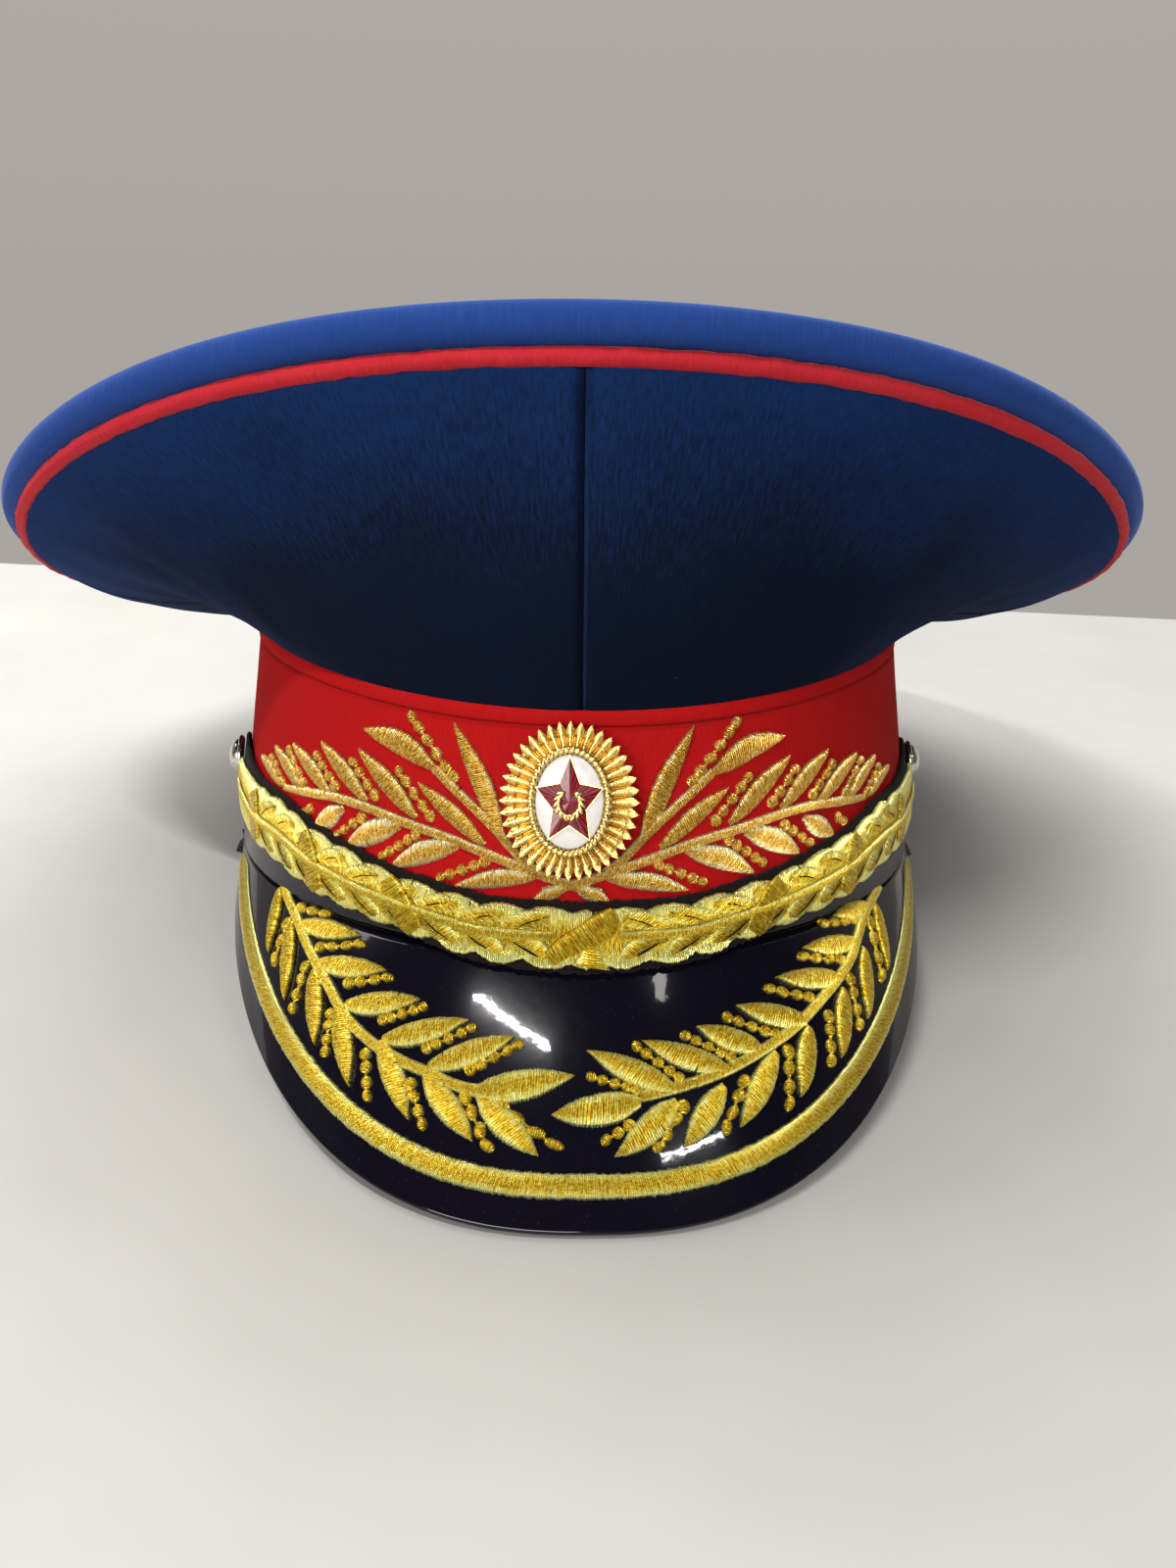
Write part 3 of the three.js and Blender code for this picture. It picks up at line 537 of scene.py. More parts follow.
# ---- the camera
CAMERA = dict(heading=-0.034, pitch=-0.253, roll=0.016, place=(-6.88, -301.8, 83.9), sensor=36, lens=26.66)


def turn_about(axis, angle):
    return Matrix.Rotation(angle, 3, axis)


def place_camera():
    """The view from in front, a little above the badge, tipped down and almost level."""
    aim = turn_about("Z", CAMERA["heading"]) @ turn_about("X", CAMERA["pitch"])
    right, ahead, up = (aim.col[i] for i in range(3))
    across = right * cos(CAMERA["roll"]) + up * sin(CAMERA["roll"])
    upward = up * cos(CAMERA["roll"]) - right * sin(CAMERA["roll"])
    data = bpy.data.cameras.new("camera")
    data.sensor_fit = "VERTICAL"
    data.sensor_height = CAMERA["sensor"]
    data.lens = CAMERA["lens"]
    data.clip_start = 0.01
    camera = add_object("camera", data)
    camera.matrix_world = AT_REST @ axes(across, upward, -ahead, Vector(CAMERA["place"]) * MM)
    bpy.context.scene.camera = camera


place_camera()


# ---- band, welt and crown
OUTSIDE = 0.6  # the share of the band's section that is its outside


def hoop(name, material, node_name, section, columns, rows):
    """A closed hoop of cloth on the band: section(angle, v) gives height and lift."""
    mesh = bmesh.new()

    def place(u, v):
        angle = (u - 0.5) * tau
        height, lift = section(angle, v)
        return band_point(angle, height, lift)

    def chart(u, v):
        return (u * 2 * ARC[-1], section((u - 0.5) * tau, v)[0] + (200 if v > OUTSIDE else 0))

    bend(mesh, columns, rows, place, chart)
    return finish_piece(mesh, name, material, node_name)


def band_section(angle, v):
    """The band: its outside from the bottom up, then its inside, with both edges turned in."""
    high = band_top(angle) - WELT["height"] + 0.2
    low_turn, high_turn, turn_share = 0.5, 0.12, 1 / 26
    if v <= OUTSIDE:
        t = v / OUTSIDE
        turned = low_turn * max(0, 1 - t / turn_share) ** 2
        turned += high_turn * max(0, 1 - (1 - t) / turn_share) ** 2
        slack = unevenness(4 * sin(angle), 4 * cos(angle), t * 2.2, 0.22 * sin(pi * t))
        return mix(0, high, t), slack - turned
    t = (v - OUTSIDE) / (1 - OUTSIDE)
    inward = min(1, sin(pi * t) * 9)
    return mix(high, 0, t), -BAND["wall"] * inward - mix(high_turn, low_turn, t) * (1 - inward)


def welt_section(angle, v):
    """The welt: a puckered cord outside, flat against the band's wall inside."""
    half_height = WELT["height"] / 2 + 0.1
    middle = band_top(angle) + 0.35 - half_height
    turn = tau * v
    pucker = unevenness(28 * sin(angle), 28 * cos(angle), 9.0, 0.12)
    lift = (0.6 * WELT["proud"] + pucker) * max(0, cos(turn)) ** 0.8 + BAND["wall"] * min(0, cos(turn))
    return middle + half_height * sin(turn), lift


def quarter(name, start):
    """One wall panel of the crown, its side edges turned in at the seams."""
    begin = radians(start) + (CROWN["front_seam"] if start == 0 else 0)
    end = radians(start + 90) + (CROWN["front_seam"] if start == -90 else 0)
    trim = 0.04 / BAND["half_length"]
    radius = 110  # of the wall half way up
    turn_depth, turn_width, pucker_width = 0.6, 1.3, 12
    inner_depth = CROWN["wall"] - 0.9
    head_at = 0.49  # the share of the section that reaches the head of the wall
    mesh = bmesh.new()

    def place(u, v):
        angle = mix(begin + trim, end - trim, u)
        outside = v <= 0.5
        rise = min(1, v / head_at) if outside else max(0, (1 - v) / head_at)
        from_seam = min(u, 1 - u) * (end - begin) * radius
        turned = turn_depth * max(0, 1 - from_seam / turn_width) ** 2
        drag = unevenness(angle * 3.2, rise * 2.6, 1.0, 0.9) + unevenness(angle * 9, rise * 1.2, 5.0, 0.4)
        pucker = unevenness(rise * 18, start, 2.0, 0.25) * max(0, 1 - from_seam / pucker_width)
        lift = (drag + pucker) * sin(pi * rise) ** 0.7 - turned
        if not outside:
            lift -= inner_depth * min(1, from_seam / 1.5) * min(1, sin(pi * rise) * 8)
        return wall_point(angle, rise) + wall_normal(angle, rise) * lift

    def chart(u, v):
        return (mix(begin, end, u) * 120, (v if v <= 0.5 else 1 - v) * 150 + (300 if v > 0.5 else 0))

    bend(mesh, 84, 72, place, chart)
    return finish_piece(mesh, f"{name}_cloth", WALL_WOOL, name)


def piping():
    """A filled cord of red cloth in the crown's seam, with a fuzzy felt edge."""
    mesh = bmesh.new()

    def place(u, v):
        angle, turn = u * tau, v * tau
        fuzz = 1 + unevenness(60 * sin(angle) + cos(turn), 60 * cos(angle) + sin(turn), 3.0, 0.2)
        across = PIPING["half_width"] * cos(turn) * fuzz
        upward = PIPING["half_height"] * sin(turn) * fuzz - PIPING["drop"]
        return crown_sheet(angle, 1) + band_out(angle) * across + UP * upward

    bend(mesh, 360, 12, place, lambda u, v: (u * 850, v * 9))
    return finish_piece(mesh, "piping_cord", LIT_PIPING_WOOL, "crown_piping")


def crown_top():
    """The crown's top: one sheet drawn over the wire, rolled over the edge and sewn down under it."""
    radius = 140.0  # the disc's, before it is fitted to the crown's oval
    roll_end, roll_height = ROLL_TOPSIDE[-1]
    rolled = [smooth_path(ROLL_TOPSIDE, i / 40) for i in range(41)]
    under = [smooth_path(ROLL_UNDERSIDE, i / 8) for i in range(9)]
    disc = [
        (mix(roll_end, radius, i / 14), mix(roll_height, roll_height - CROWN["top_sag"], i / 14))
        for i in range(1, 15)
    ]
    lining_side = [(inset, height - CROWN["wall"]) for inset, height in disc]
    section = (rolled + disc)[::-1] + under[::-1] + lining_side
    last = len(section) - 1
    mesh = bmesh.new()

    def place(u, v):
        angle = u * tau
        inset, height = section[round(v * last)]
        reach = (crown_sheet(angle, 1) - crown_sheet(angle, 0)).length
        if inset > roll_end:
            inset = mix(roll_end, reach, (inset - roll_end) / (radius - roll_end))
        if inset >= reach - 0.01:
            return crown_sheet(angle, 0) + UP * height
        ripple = unevenness(5 * sin(angle), 5 * cos(angle), inset / 16, 0.7)
        ripple *= min(1, max(0, inset + 3) / 8) * min(1, (radius - min(inset, radius)) / 60)
        return crown_top_point(angle, inset, height + ripple)

    def chart(u, v):
        inset, height = section[round(v * last)]
        reach = radius - inset
        return (reach * sin(u * tau), reach * cos(u * tau) + height * 0.5)

    bend(mesh, 240, last, place, chart)
    return finish_piece(mesh, "top_cloth", LIT_TOP_WOOL, "crown_top")


# ---- the peak
def peak():
    """The lacquered peak: a thick leather plate, its rim rounded and its root tucked under the band."""
    mesh = bmesh.new()
    thickness = PEAK["thickness"]
    end = radians(PEAK["end_angle"])
    rim_from, rim_to = 0.45, 0.55  # the part of the section that goes round the rim
    flat_end = 0.44  # where the flat face has reached it

    def section(v):
        """The share of the way to the rim, the depth in thicknesses, and the lip's share."""
        if min(v, 1 - v) < 0.001:
            return 0.0, -0.5, 0.0
        if v < rim_from:
            return min(1, v / flat_end), 0.0, 0.0
        if v > rim_to:
            return min(1, (1 - v) / flat_end), -1.0, 0.0
        turn = (v - rim_from) / (rim_to - rim_from) * pi
        return 1.0, (cos(turn) - 1) / 2, sin(turn)

    def place(u, v):
        angle = mix(-end, end, u)
        share, depth, lip = section(v)
        taper = min(1, min(u, 1 - u) * 30) ** 0.5
        root = peak_root(angle)
        if share <= 0:
            inward = Vector((-root.x, -root.y, 0)).normalized() * BAND["wall"] * taper
            return root + inward + UP * depth * thickness * taper
        ruling = peak_rim(angle) - root
        beyond = min(lip * ruling.length * PEAK["lip"], PEAK["longest_lip"])
        reach = share * (0.55 + 0.45 * taper)
        return peak_point(angle, reach, depth * thickness * taper) + ruling.normalized() * beyond * taper

    bend(mesh, 220, 80, place, lambda u, v: (u * 260, v * 150))

    def upstand(u, v):
        """The leather turned up against the band, behind the strap."""
        along = mix(-BUTTON_ALONG, BUTTON_ALONG, u)
        height, half = strap_row(STRAP_ROUTE, min(abs(along), 100))
        top = max(0.6, height - half + 1.5) * min(1, (BUTTON_ALONG - abs(along)) / 16 + 0.15)
        turn = tau * v
        level = -0.4 + (top + 0.4) * (0.5 + 0.5 * sin(turn))
        return band_point(band_angle(along), level, 0.12 + 0.16 * cos(turn))

    bend(mesh, 200, 12, upstand, lambda u, v: (u * 260, v * 20))
    return finish_piece(mesh, "peak_leather", LACQUER, "peak")


# ---- embroidery
def on_band(side):
    """The band's surface for one laurel: distance out from the badge, and height."""
    def surface(place):
        angle = band_angle(BADGE_SHIFT + side * place[0])
        return band_point(angle, place[1]), band_out(angle)
    return surface


def on_peak(place):
    """The peak's surface: angle in degrees, and share of the way to the rim."""
    angle, share = radians(place[0]), place[1]
    return peak_surface(angle, share), peak_normal(angle, share)


def stations(surface, route, count):
    """Frames along a route: centre, forward, sideways and normal."""
    spots = [surface(smooth_path(route, i / count)) for i in range(count + 1)]
    frames = []
    for i, (centre, normal) in enumerate(spots):
        ahead = spots[min(i + 1, count)][0] - spots[max(i - 1, 0)][0]
        forward = (ahead - normal * ahead.dot(normal)).normalized()
        frames.append((centre, forward, normal.cross(forward), normal))
    return frames


def rounded_end(distance):
    """How wide a strip with a rounded end is, at a distance from the end in half widths."""
    return sqrt(max(0, 1 - max(0, 1 - distance) ** 2))


def route_length(surface, route):
    spots = [surface(smooth_path(route, i / 12))[0] for i in range(13)]
    return sum((b - a).length for a, b in zip(spots, spots[1:]))


BURIED = 0.1  # depth of a stitch's underside in the cloth


def satin(mesh, rng, surface, route, halves, height, lift=0.0, rise=0.0, pitch=0.28, tooth=0.24, slant=0.2,
          flatness=0.6, columns=12, ends=EDGE):
    """A strip of satin stitch: threads laid across a padded route, their ends a little uneven.

    halves are half its widths along the route. It stands on the surface at lift, and rises by rise
    along its way. tooth is the unevenness of its edges, slant leans the threads, and the lower its
    flatness, the squarer its padding. ends is the V at its threads' ends: the larger, the more painted
    highlight the thread material puts there; the smaller, the more painted shade.
    """
    length = route_length(surface, route)
    count = max(8, round(length / pitch))
    frames = stations(surface, route, count)
    sides = [smooth_path([(half,) for half in halves], i / count)[0] for i in range(count + 1)]
    teeth = []
    for i in range(count + 1):
        reach = tooth * (0.55 if i % 2 else -0.55)
        left = reach + rng.uniform(-tooth, tooth) / 2
        right = reach + rng.uniform(-tooth, tooth) / 2
        teeth.append((left, right, rng.uniform(-0.04, 0.04)))
    start = rng.uniform(0, 60)

    def place(u, v):
        i = round(u * count)
        centre, forward, sideways, normal = frames[i]
        left, right, bump = teeth[i]
        across, raised = cos(tau * v), sin(tau * v)
        half = max(0.02, sides[i] + (left if across > 0 else right) * min(1, sides[i] / 0.6))
        swell = min(1, (4 * min(u, 1 - u)) ** 0.6 + 0.2)
        top = (height + bump) * raised ** flatness * swell if raised > 0 else -BURIED
        along = slant * across * sides[i]
        return centre + forward * along + sideways * across * half + normal * (lift + rise * u + top)

    def chart(u, v):
        return (start + u * length, cos(tau * v) * ends)

    bend(mesh, count, columns, place, chart)


def berry(mesh, rng, spot, long_half, wide_half, height, lift):
    """One padded knot of thread."""
    centre, forward, sideways, normal = spot
    swing = rng.uniform(-0.5, 0.5)
    first = forward * cos(swing) + sideways * sin(swing)
    second = normal.cross(first)
    basis = axes(first * long_half, second * wide_half, normal * height, centre + normal * lift)
    layer = uv_layer(mesh)
    verts = bmesh.ops.create_uvsphere(mesh, u_segments=12, v_segments=8, radius=1, matrix=basis)["verts"]
    start = rng.uniform(0, 60)
    for face in faces_of(verts):
        face.smooth = True
        for loop in face.loops:
            reach = loop.vert.co - centre
            loop[layer].uv = (start + reach.dot(first), reach.dot(second))
    for vert in verts:
        vert.co += first * rng.uniform(-0.06, 0.06) + second * rng.uniform(-0.06, 0.06)


def chain(mesh, rng, surface, base, tip, count, wide):
    """A row of berries from a base to a tip, on a thin thread."""
    thread, height, lift = 0.28, 1.0, 0.1
    route = [base, tip]
    satin(mesh, rng, surface, route, [thread, thread], height / 2, pitch=0.5, columns=6, tooth=0.05)
    length = route_length(surface, route)
    frames = stations(surface, route, 4 * count)
    for k in range(count):
        growth = mix(1.08, 0.9, k / max(1, count - 1)) * rng.uniform(0.92, 1.08)
        berry(mesh, rng, frames[4 * k + 2], length / count * 0.54, wide * growth, height, lift)


LEAF = [0.30, 0.50, 0.80, 0.97, 1.0, 0.88, 0.62, 0.30, 0.04]  # a leaf's width from base to tip
# the band's laurel: distances out from the badge, and heights; leaves give tip, base, width and bow
BAND_STEM = [
    (75.6, 20.6), (66, 21.6), (55, 22.6), (47, 22.5), (40.7, 21.8), (33, 20.6), (25, 19.2), (18, 17.4),
    (10, 15), (4, 13.2), (-1.5, 11.6), (-5.5, 10.4)]
BAND_TWIG = [(28.3, 31.7), (24.2, 28.8), (19.2, 25.1), (14.5, 21.3), (12.2, 19), (9.5, 16.6), (6, 14)]
BAND_LEAVES = [
    ((24.5, 40.7), (13.2, 19.4), 4.2, 0.03), ((46.6, 37.2), (28.3, 31.7), 5.0, 0.07),
    ((32, 28.8), (17, 18.6), 3.8, 0.02), ((47.8, 33.3), (31.8, 22), 4.4, 0.02),
    ((60.1, 33), (44.5, 23.5), 4.2, 0.02), ((71.7, 30.7), (55.5, 23.1), 4.0, 0.02),
    ((81.5, 28.6), (66.3, 22.2), 3.8, 0.02), ((91, 24.7), (75, 20.8), 3.4, 0.02),
    ((60.2, 15.4), (51, 20.7), 4.6, 0), ((49.3, 13.9), (35.4, 20), 5.2, 0.04),
    ((37.2, 11.9), (22.4, 17.7), 4.8, 0.05), ((22.8, 10.3), (6.9, 13.2), 3.8, 0.04),
    ((7.2, 9.2), (1, 11.4), 3.0, 0),
]
# chains of berries give tip, base and number
BAND_CHAINS = [
    ((34.6, 41.2), (23.5, 29.9), 6), ((37, 30.7), (28.2, 22.2), 5), ((49.7, 30.9), (41.7, 24.3), 4),
    ((61.7, 30.2), (53.4, 24.3), 4), ((73.8, 29.3), (64.9, 22.7), 4), ((83.4, 25.9), (74.8, 21.2), 4),
    ((65, 17.4), (61.6, 19), 2), ((53.1, 15), (44.8, 20.4), 4), ((39.9, 13.3), (31.1, 19.1), 5),
    ((26.3, 11.3), (16.2, 15.6), 5),
]


def bowed(base, tip, bow):
    """A leaf's middle line: base, middle and tip, bowed sideways by a share of its length."""
    along, up = tip[0] - base[0], tip[1] - base[1]
    return [base, ((base[0] + tip[0]) / 2 - up * bow, (base[1] + tip[1]) / 2 + along * bow), tip]


def band_spray(name, side, seed):
    """One laurel spray of the band: stem, twig, leaves and berries."""
    rng = random.Random(seed)
    mesh = bmesh.new()
    surface = on_band(side)
    satin(mesh, rng, surface, BAND_STEM, [0.7] + [1.05] * 10, 0.9, tooth=0.12)
    satin(mesh, rng, surface, BAND_TWIG, [1.0] * 6, 0.95, lift=0.1, tooth=0.12)
    for tip, base, width, bow in BAND_LEAVES:
        halves = [share * width / 2 for share in LEAF]
        ends = EDGE * (1.2 if tip[1] < base[1] else 0.7)  # the lower leaves get painted highlight at their thread ends, the upper ones painted shade
        satin(mesh, rng, surface, bowed(base, tip, bow), halves, 1.0, lift=0.05, tooth=0.18, ends=ends)
    for tip, base, count in BAND_CHAINS:
        chain(mesh, rng, surface, base, tip, count, 1.15)
    return finish_piece(mesh, f"{name}_stitches", RED_BOUNCE_THREAD, name)


# the peak's laurels: angles in degrees and shares of the way to the rim
PEAK_SPRAYS = {
    "peak_laurel_right": dict(
        stem=[
            (-53, -.02), (-46, .14), (-41, .26), (-36, .36), (-31, .46), (-26, .51), (-22, .53), (-18, .54),
            (-14, .56), (-11, .56)],
        leaves=[
            ((-33, .07), (-45, .14), 3.8), ((-27, .19), (-39, .29), 4.0), ((-21, .27), (-32, .41), 4.2),
            ((-14, .31), (-25, .48), 4.2), ((-8, .35), (-18, .52), 4.2), ((-1, .48), (-12, .57), 5.0),
            ((-50, .47), (-53, .0), 3.0), ((-43, .60), (-47, .17), 3.3), ((-35, .66), (-39, .33), 3.6),
            ((-28, .72), (-33, .42), 3.8), ((-19, .73), (-25, .48), 4.0), ((-11, .74), (-18, .55), 4.2),
            ((-4, .76), (-11, .58), 4.4),
        ],
        chains=[
            ((-40, .02), (-47, .06), 3), ((-32, .10), (-40, .22), 4), ((-26, .21), (-33, .32), 4),
            ((-20, .29), (-26, .41), 5), ((-13, .33), (-19, .46), 5), ((-7, .37), (-13, .50), 5),
            ((-48, .50), (-48, .17), 3), ((-41, .62), (-41, .33), 4), ((-33, .67), (-34, .47), 4),
            ((-25, .73), (-27, .55), 4), ((-17, .74), (-20, .59), 4), ((-9, .76), (-13, .58), 4),
            ((-2, .73), (-9, .59), 4),
        ],
    ),
    "peak_laurel_left": dict(
        stem=[
            (55, -.02), (47, .11), (40, .29), (32, .39), (26, .45), (20, .49), (15, .52), (10, .54),
            (5, .56)],
        leaves=[
            ((40, .02), (49, .06), 3.6), ((32, .12), (43, .22), 3.8), ((26, .21), (37, .34), 4.0),
            ((19, .28), (29, .45), 4.2), ((13, .33), (21, .48), 4.2), ((6, .36), (16, .52), 4.2),
            ((0, .39), (9, .55), 4.2), ((-3, .62), (5, .58), 5.0), ((48, .53), (51, .08), 3.0),
            ((40, .63), (44, .28), 3.3), ((33, .68), (37, .40), 3.6), ((25, .72), (29, .47), 3.8),
            ((16, .73), (23, .51), 4.0), ((9, .75), (15, .57), 4.2), ((2, .76), (9, .59), 4.4),
        ],
        chains=[
            ((37, .03), (45, .10), 4), ((31, .15), (39, .27), 4), ((24, .24), (31, .36), 4),
            ((17, .31), (24, .45), 5), ((11, .35), (17, .48), 5), ((5, .37), (10, .52), 5),
            ((0, .48), (5, .54), 5), ((46, .55), (48, .14), 4), ((38, .64), (39, .36), 4),
            ((31, .68), (33, .46), 4), ((23, .74), (25, .51), 4), ((14, .73), (18, .56), 4),
            ((6, .75), (10, .60), 4), ((1, .71), (4, .65), 3),
        ],
    ),
}


def peak_spray(name, seed):
    """One laurel spray of the peak: stem, leaves and berries."""
    rng = random.Random(seed)
    mesh = bmesh.new()
    plan = PEAK_SPRAYS[name]
    widest_angle = 55
    satin(mesh, rng, on_peak, plan["stem"], [1.1] * 6, 0.9, lift=0.1, tooth=0.12)
    for tip, base, width in plan["leaves"]:
        halves = [share * width * 0.58 for share in LEAF]
        painted_light_share = 1 - abs(tip[0]) / widest_angle  # painted shade on the leaves towards the peak's sides, painted highlight towards its middle
        # the leaves that point towards the rim get painted shade at their thread ends, the others painted
        # highlight
        ends = EDGE * mix(0.35 if tip[1] > base[1] else 0.75, 1.15, painted_light_share)
        satin(mesh, rng, on_peak, [base, tip], halves, 1.1, lift=0.15, tooth=0.18, ends=ends)
    for tip, base, count in plan["chains"]:
        chain(mesh, rng, on_peak, base, tip, count, 1.1)
    return finish_piece(mesh, f"{name}_stitches", METAL_THREAD, name)


def border():
    """The padded satin border that follows the peak's rim."""
    rng = random.Random(11)
    mesh = bmesh.new()
    count = 760  # threads
    steps = 96  # places where the edges are worked out, with smooth curves between them
    sides = []
    for k in range(steps + 1):
        turn = mix(-1, 1, k / steps)
        outer, inner = radians(turn * BORDER["outer_end"]), radians(turn * BORDER["inner_end"])
        first = peak_inset(outer, BORDER["inset"])
        second = peak_inset(inner, BORDER["inset"] + BORDER["width"])
        sides.append([*peak_surface(outer, first), *peak_surface(inner, second), *peak_normal(inner, second)])
    lengths = [0.0]
    frames = []
    for i in range(count + 1):
        values = smooth_path(sides, i / count)
        frames.append((Vector(values[:3]), Vector(values[3:6]), Vector(values[6:]).normalized()))
        if i:
            lengths.append(lengths[-1] + (frames[i][0] - frames[i - 1][0]).length)
    tooth, bump_height = 0.16, 0.05
    teeth = [
        [rng.uniform(-size, size) for size in (tooth, tooth, bump_height)]
        for station in frames
    ]

    def place(u, v):
        i = round(u * count)
        outside, inside, normal = frames[i]
        middle, reach = (outside + inside) / 2, (outside - inside) / 2
        half = reach.length
        left, right, bump = teeth[i]
        from_end = min(lengths[i], lengths[-1] - lengths[i]) / half
        narrowed = rounded_end(from_end * 1.6)
        across, raised = cos(tau * v), sin(tau * v)
        wide = (half + (left if across > 0 else right)) * narrowed
        top = (BORDER["height"] + bump) * raised ** 0.7 * narrowed if raised > 0 else -BURIED
        return middle + reach.normalized() * across * wide + normal * (BORDER["lift"] + top)

    bend(mesh, count, 12, place, lambda u, v: (lengths[round(u * count)], cos(tau * v) * EDGE))
    return finish_piece(mesh, "peak_border_stitches", METAL_THREAD, "peak_border")


# ---- the strap
# the distance along the band, the height of the middle, and half the width
STRAP_ROUTE = [
    (0, 3.15, 4.95), (18, 3.75, 4.85), (35, 6.0, 4.9), (57, 9.25, 5.85), (75, 12.55, 6.35), (88, 13.2, 6.0),
    (100, 14.5, 5.4), (108, 15.6, 4.2), (117, 17.2, 2.4)]
BACKING_ROUTE = [
    (0, 3.3, 6.0), (18, 3.8, 5.75), (35, 6.15, 5.8), (57, 9.4, 6.6), (75, 12.7, 7.1), (88, 13.5, 6.8),
    (100, 15.2, 6.7), (108, 16.8, 6.7), (120, 18, 6.5), (128, 18, 5.2), (131, 18, 2.6)]
LOBE_PITCH = 8.6
LEAF_STARTS = [11 + LOBE_PITCH * k for k in range(9)]  # along one half, from the knot out
WRAPS = [(39, 32), (63, 57), (89, 85)]  # where a wrap crosses the top edge and the bottom edge


def strap_row(route, along):
    """Height of the middle and half the width, at a distance from the centre."""
    reach = min(abs(along), route[-1][0])
    i = max(k for k in range(len(route) - 1) if route[k][0] <= reach)
    t = (reach - route[i][0]) / (route[i + 1][0] - route[i][0])
    t = t * t * (3 - 2 * t) * 0.3 + t * 0.7
    return mix(route[i][1], route[i + 1][1], t), mix(route[i][2], route[i + 1][2], t)


def over_edge(level):
    """How far the strap stands out over the root of the peak, below the band's edge."""
    return max(0, 1.0 - level)


def on_strap(place):
    """The strap's surface: distance along it, and share of half its width."""
    along, across = place
    height, half = strap_row(STRAP_ROUTE, along)
    level = height + across * half
    angle = band_angle(along)
    return band_point(angle, level, over_edge(level)), band_out(angle)


def ribbon(mesh, rng, route, floor, thickness, columns, wave, crowning, scallop=0.0):
    """A flat ribbon along the strap, its edges a little wavy and its face a little crowned."""
    end = route[-1][0]
    lobes_end = 88
    waves = [(rng.uniform(-wave, wave), rng.uniform(-wave, wave)) for _ in range(columns + 1)]

    def place(u, v):
        along = mix(-end, end, u)
        height, half = strap_row(route, along)
        narrowed = rounded_end((end - abs(along)) / max(half, 0.1))
        across, raised = cos(tau * v), sin(tau * v)
        high, low = waves[round(u * columns)]
        lobed = scallop * (abs(sin(pi * (abs(along) - 2.5) / LOBE_PITCH)) - 0.7) * (abs(along) < lobes_end)
        level = height + across * (half + lobed + (high if across > 0 else low)) * narrowed
        squared = (1 if raised > 0 else -1) * abs(raised) ** 0.25
        up = thickness * (0.5 + 0.5 * squared) + crowning * max(0, raised)
        return band_point(band_angle(along), level, floor + up + over_edge(level))

    def chart(u, v):
        return (mix(-end, end, u), cos(tau * v) * EDGE + (30 if v > 0.5 else 0))

    bend(mesh, columns, 16, place, chart)


def strap_backing():
    """The felt under the strap, and slivers of black felt laid in the valleys between the leaves as painted
    shadow.
    """
    rng = random.Random(3)
    mesh = bmesh.new()
    ribbon(mesh, rng, BACKING_ROUTE, 0.35, 1.1, 420, 0.22, 0.0)
    for side in (-1, 1):
        for begin in LEAF_STARTS:
            for edge in (1, -1):
                shift, growth = rng.uniform(-0.8, 0.8), rng.uniform(0.7, 1.25)
                middle = begin - 0.6 + shift
                # painted shadow: a sliver of black felt standing in the valley between two leaves
                slit = [(side * (middle + 2.6 * growth), (0.48 - 0.22 * growth) * edge),
                        (side * (middle + 0.3 * growth), 0.51 * edge),
                        (side * (middle - 2.8 * growth), (0.48 + 0.24 * growth) * edge)]
                satin(mesh, rng, on_strap, slit, [0.04, 0.16, 0.24, 0.2, 0.05], 0.42, lift=2.72, pitch=0.5,
                      tooth=0.05, slant=0, flatness=0.4, columns=6)
    return finish_piece(mesh, "strap_felt_and_shadow_slivers", FELT, "strap_backing")


def strap_gold():
    """The strap's face: a padded laurel garland of overlapping leaves on a ribbon, bound by wraps."""
    rng = random.Random(8)
    mesh = bmesh.new()
    ribbon(mesh, rng, STRAP_ROUTE, 1.4, 1.2, 560, 0.14, 0.1, scallop=0.9)
    lobe = [0.5, 1.5, 2.0, 2.2, 2.25, 2.1, 1.6, 0.5]
    for side in (-1, 1):
        for begin in LEAF_STARTS:
            for edge in (1, -1):
                middle = [(side * (begin + 4.2), 0.10 * edge), (side * (begin + 0.2), 0.42 * edge),
                          (side * (begin - 4.6), 0.76 * edge)]
                satin(mesh, rng, on_strap, middle, lobe, 1.0, lift=1.9, rise=0.25, tooth=0.14,
                      slant=0.55 * edge * side, flatness=0.55, columns=16)
        stem = [(side * along, 0.02 * (-1) ** k) for k, along in enumerate((6, 20, 36, 52, 70, 86, 108))]
        satin(mesh, rng, on_strap, stem, [0.95] * 6, 0.8, lift=2.9, tooth=0.1)
        for top, bottom in WRAPS:
            middle = [(side * top, 0.8), (side * (top + bottom) / 2, 0), (side * bottom, -0.8)]
            satin(mesh, rng, on_strap, middle, [1.9, 2.8, 2.9, 2.8, 1.9], 0.75, lift=2.75, tooth=0.04,
                  slant=0, flatness=0.35, columns=16, ends=SHADED_WRAP_SPAN)
    knot = [(5.4, 0.8), (-0.6, 0.0), (-6.2, -0.8)]
    satin(mesh, rng, on_strap, knot, [2.0, 2.7, 2.5, 2.6, 2.0], 1.0, lift=2.8, tooth=0.06, slant=0,
          flatness=0.35, columns=16, ends=SHADED_WRAP_SPAN)
    tail = [(1.4, -0.1), (0.8, -0.92)]
    satin(mesh, rng, on_strap, tail, [0.4, 2.0, 3.6], 0.8, lift=2.5, tooth=0.15, slant=0)
    return finish_piece(mesh, "strap_stitches", METAL_THREAD, "strap_gold")


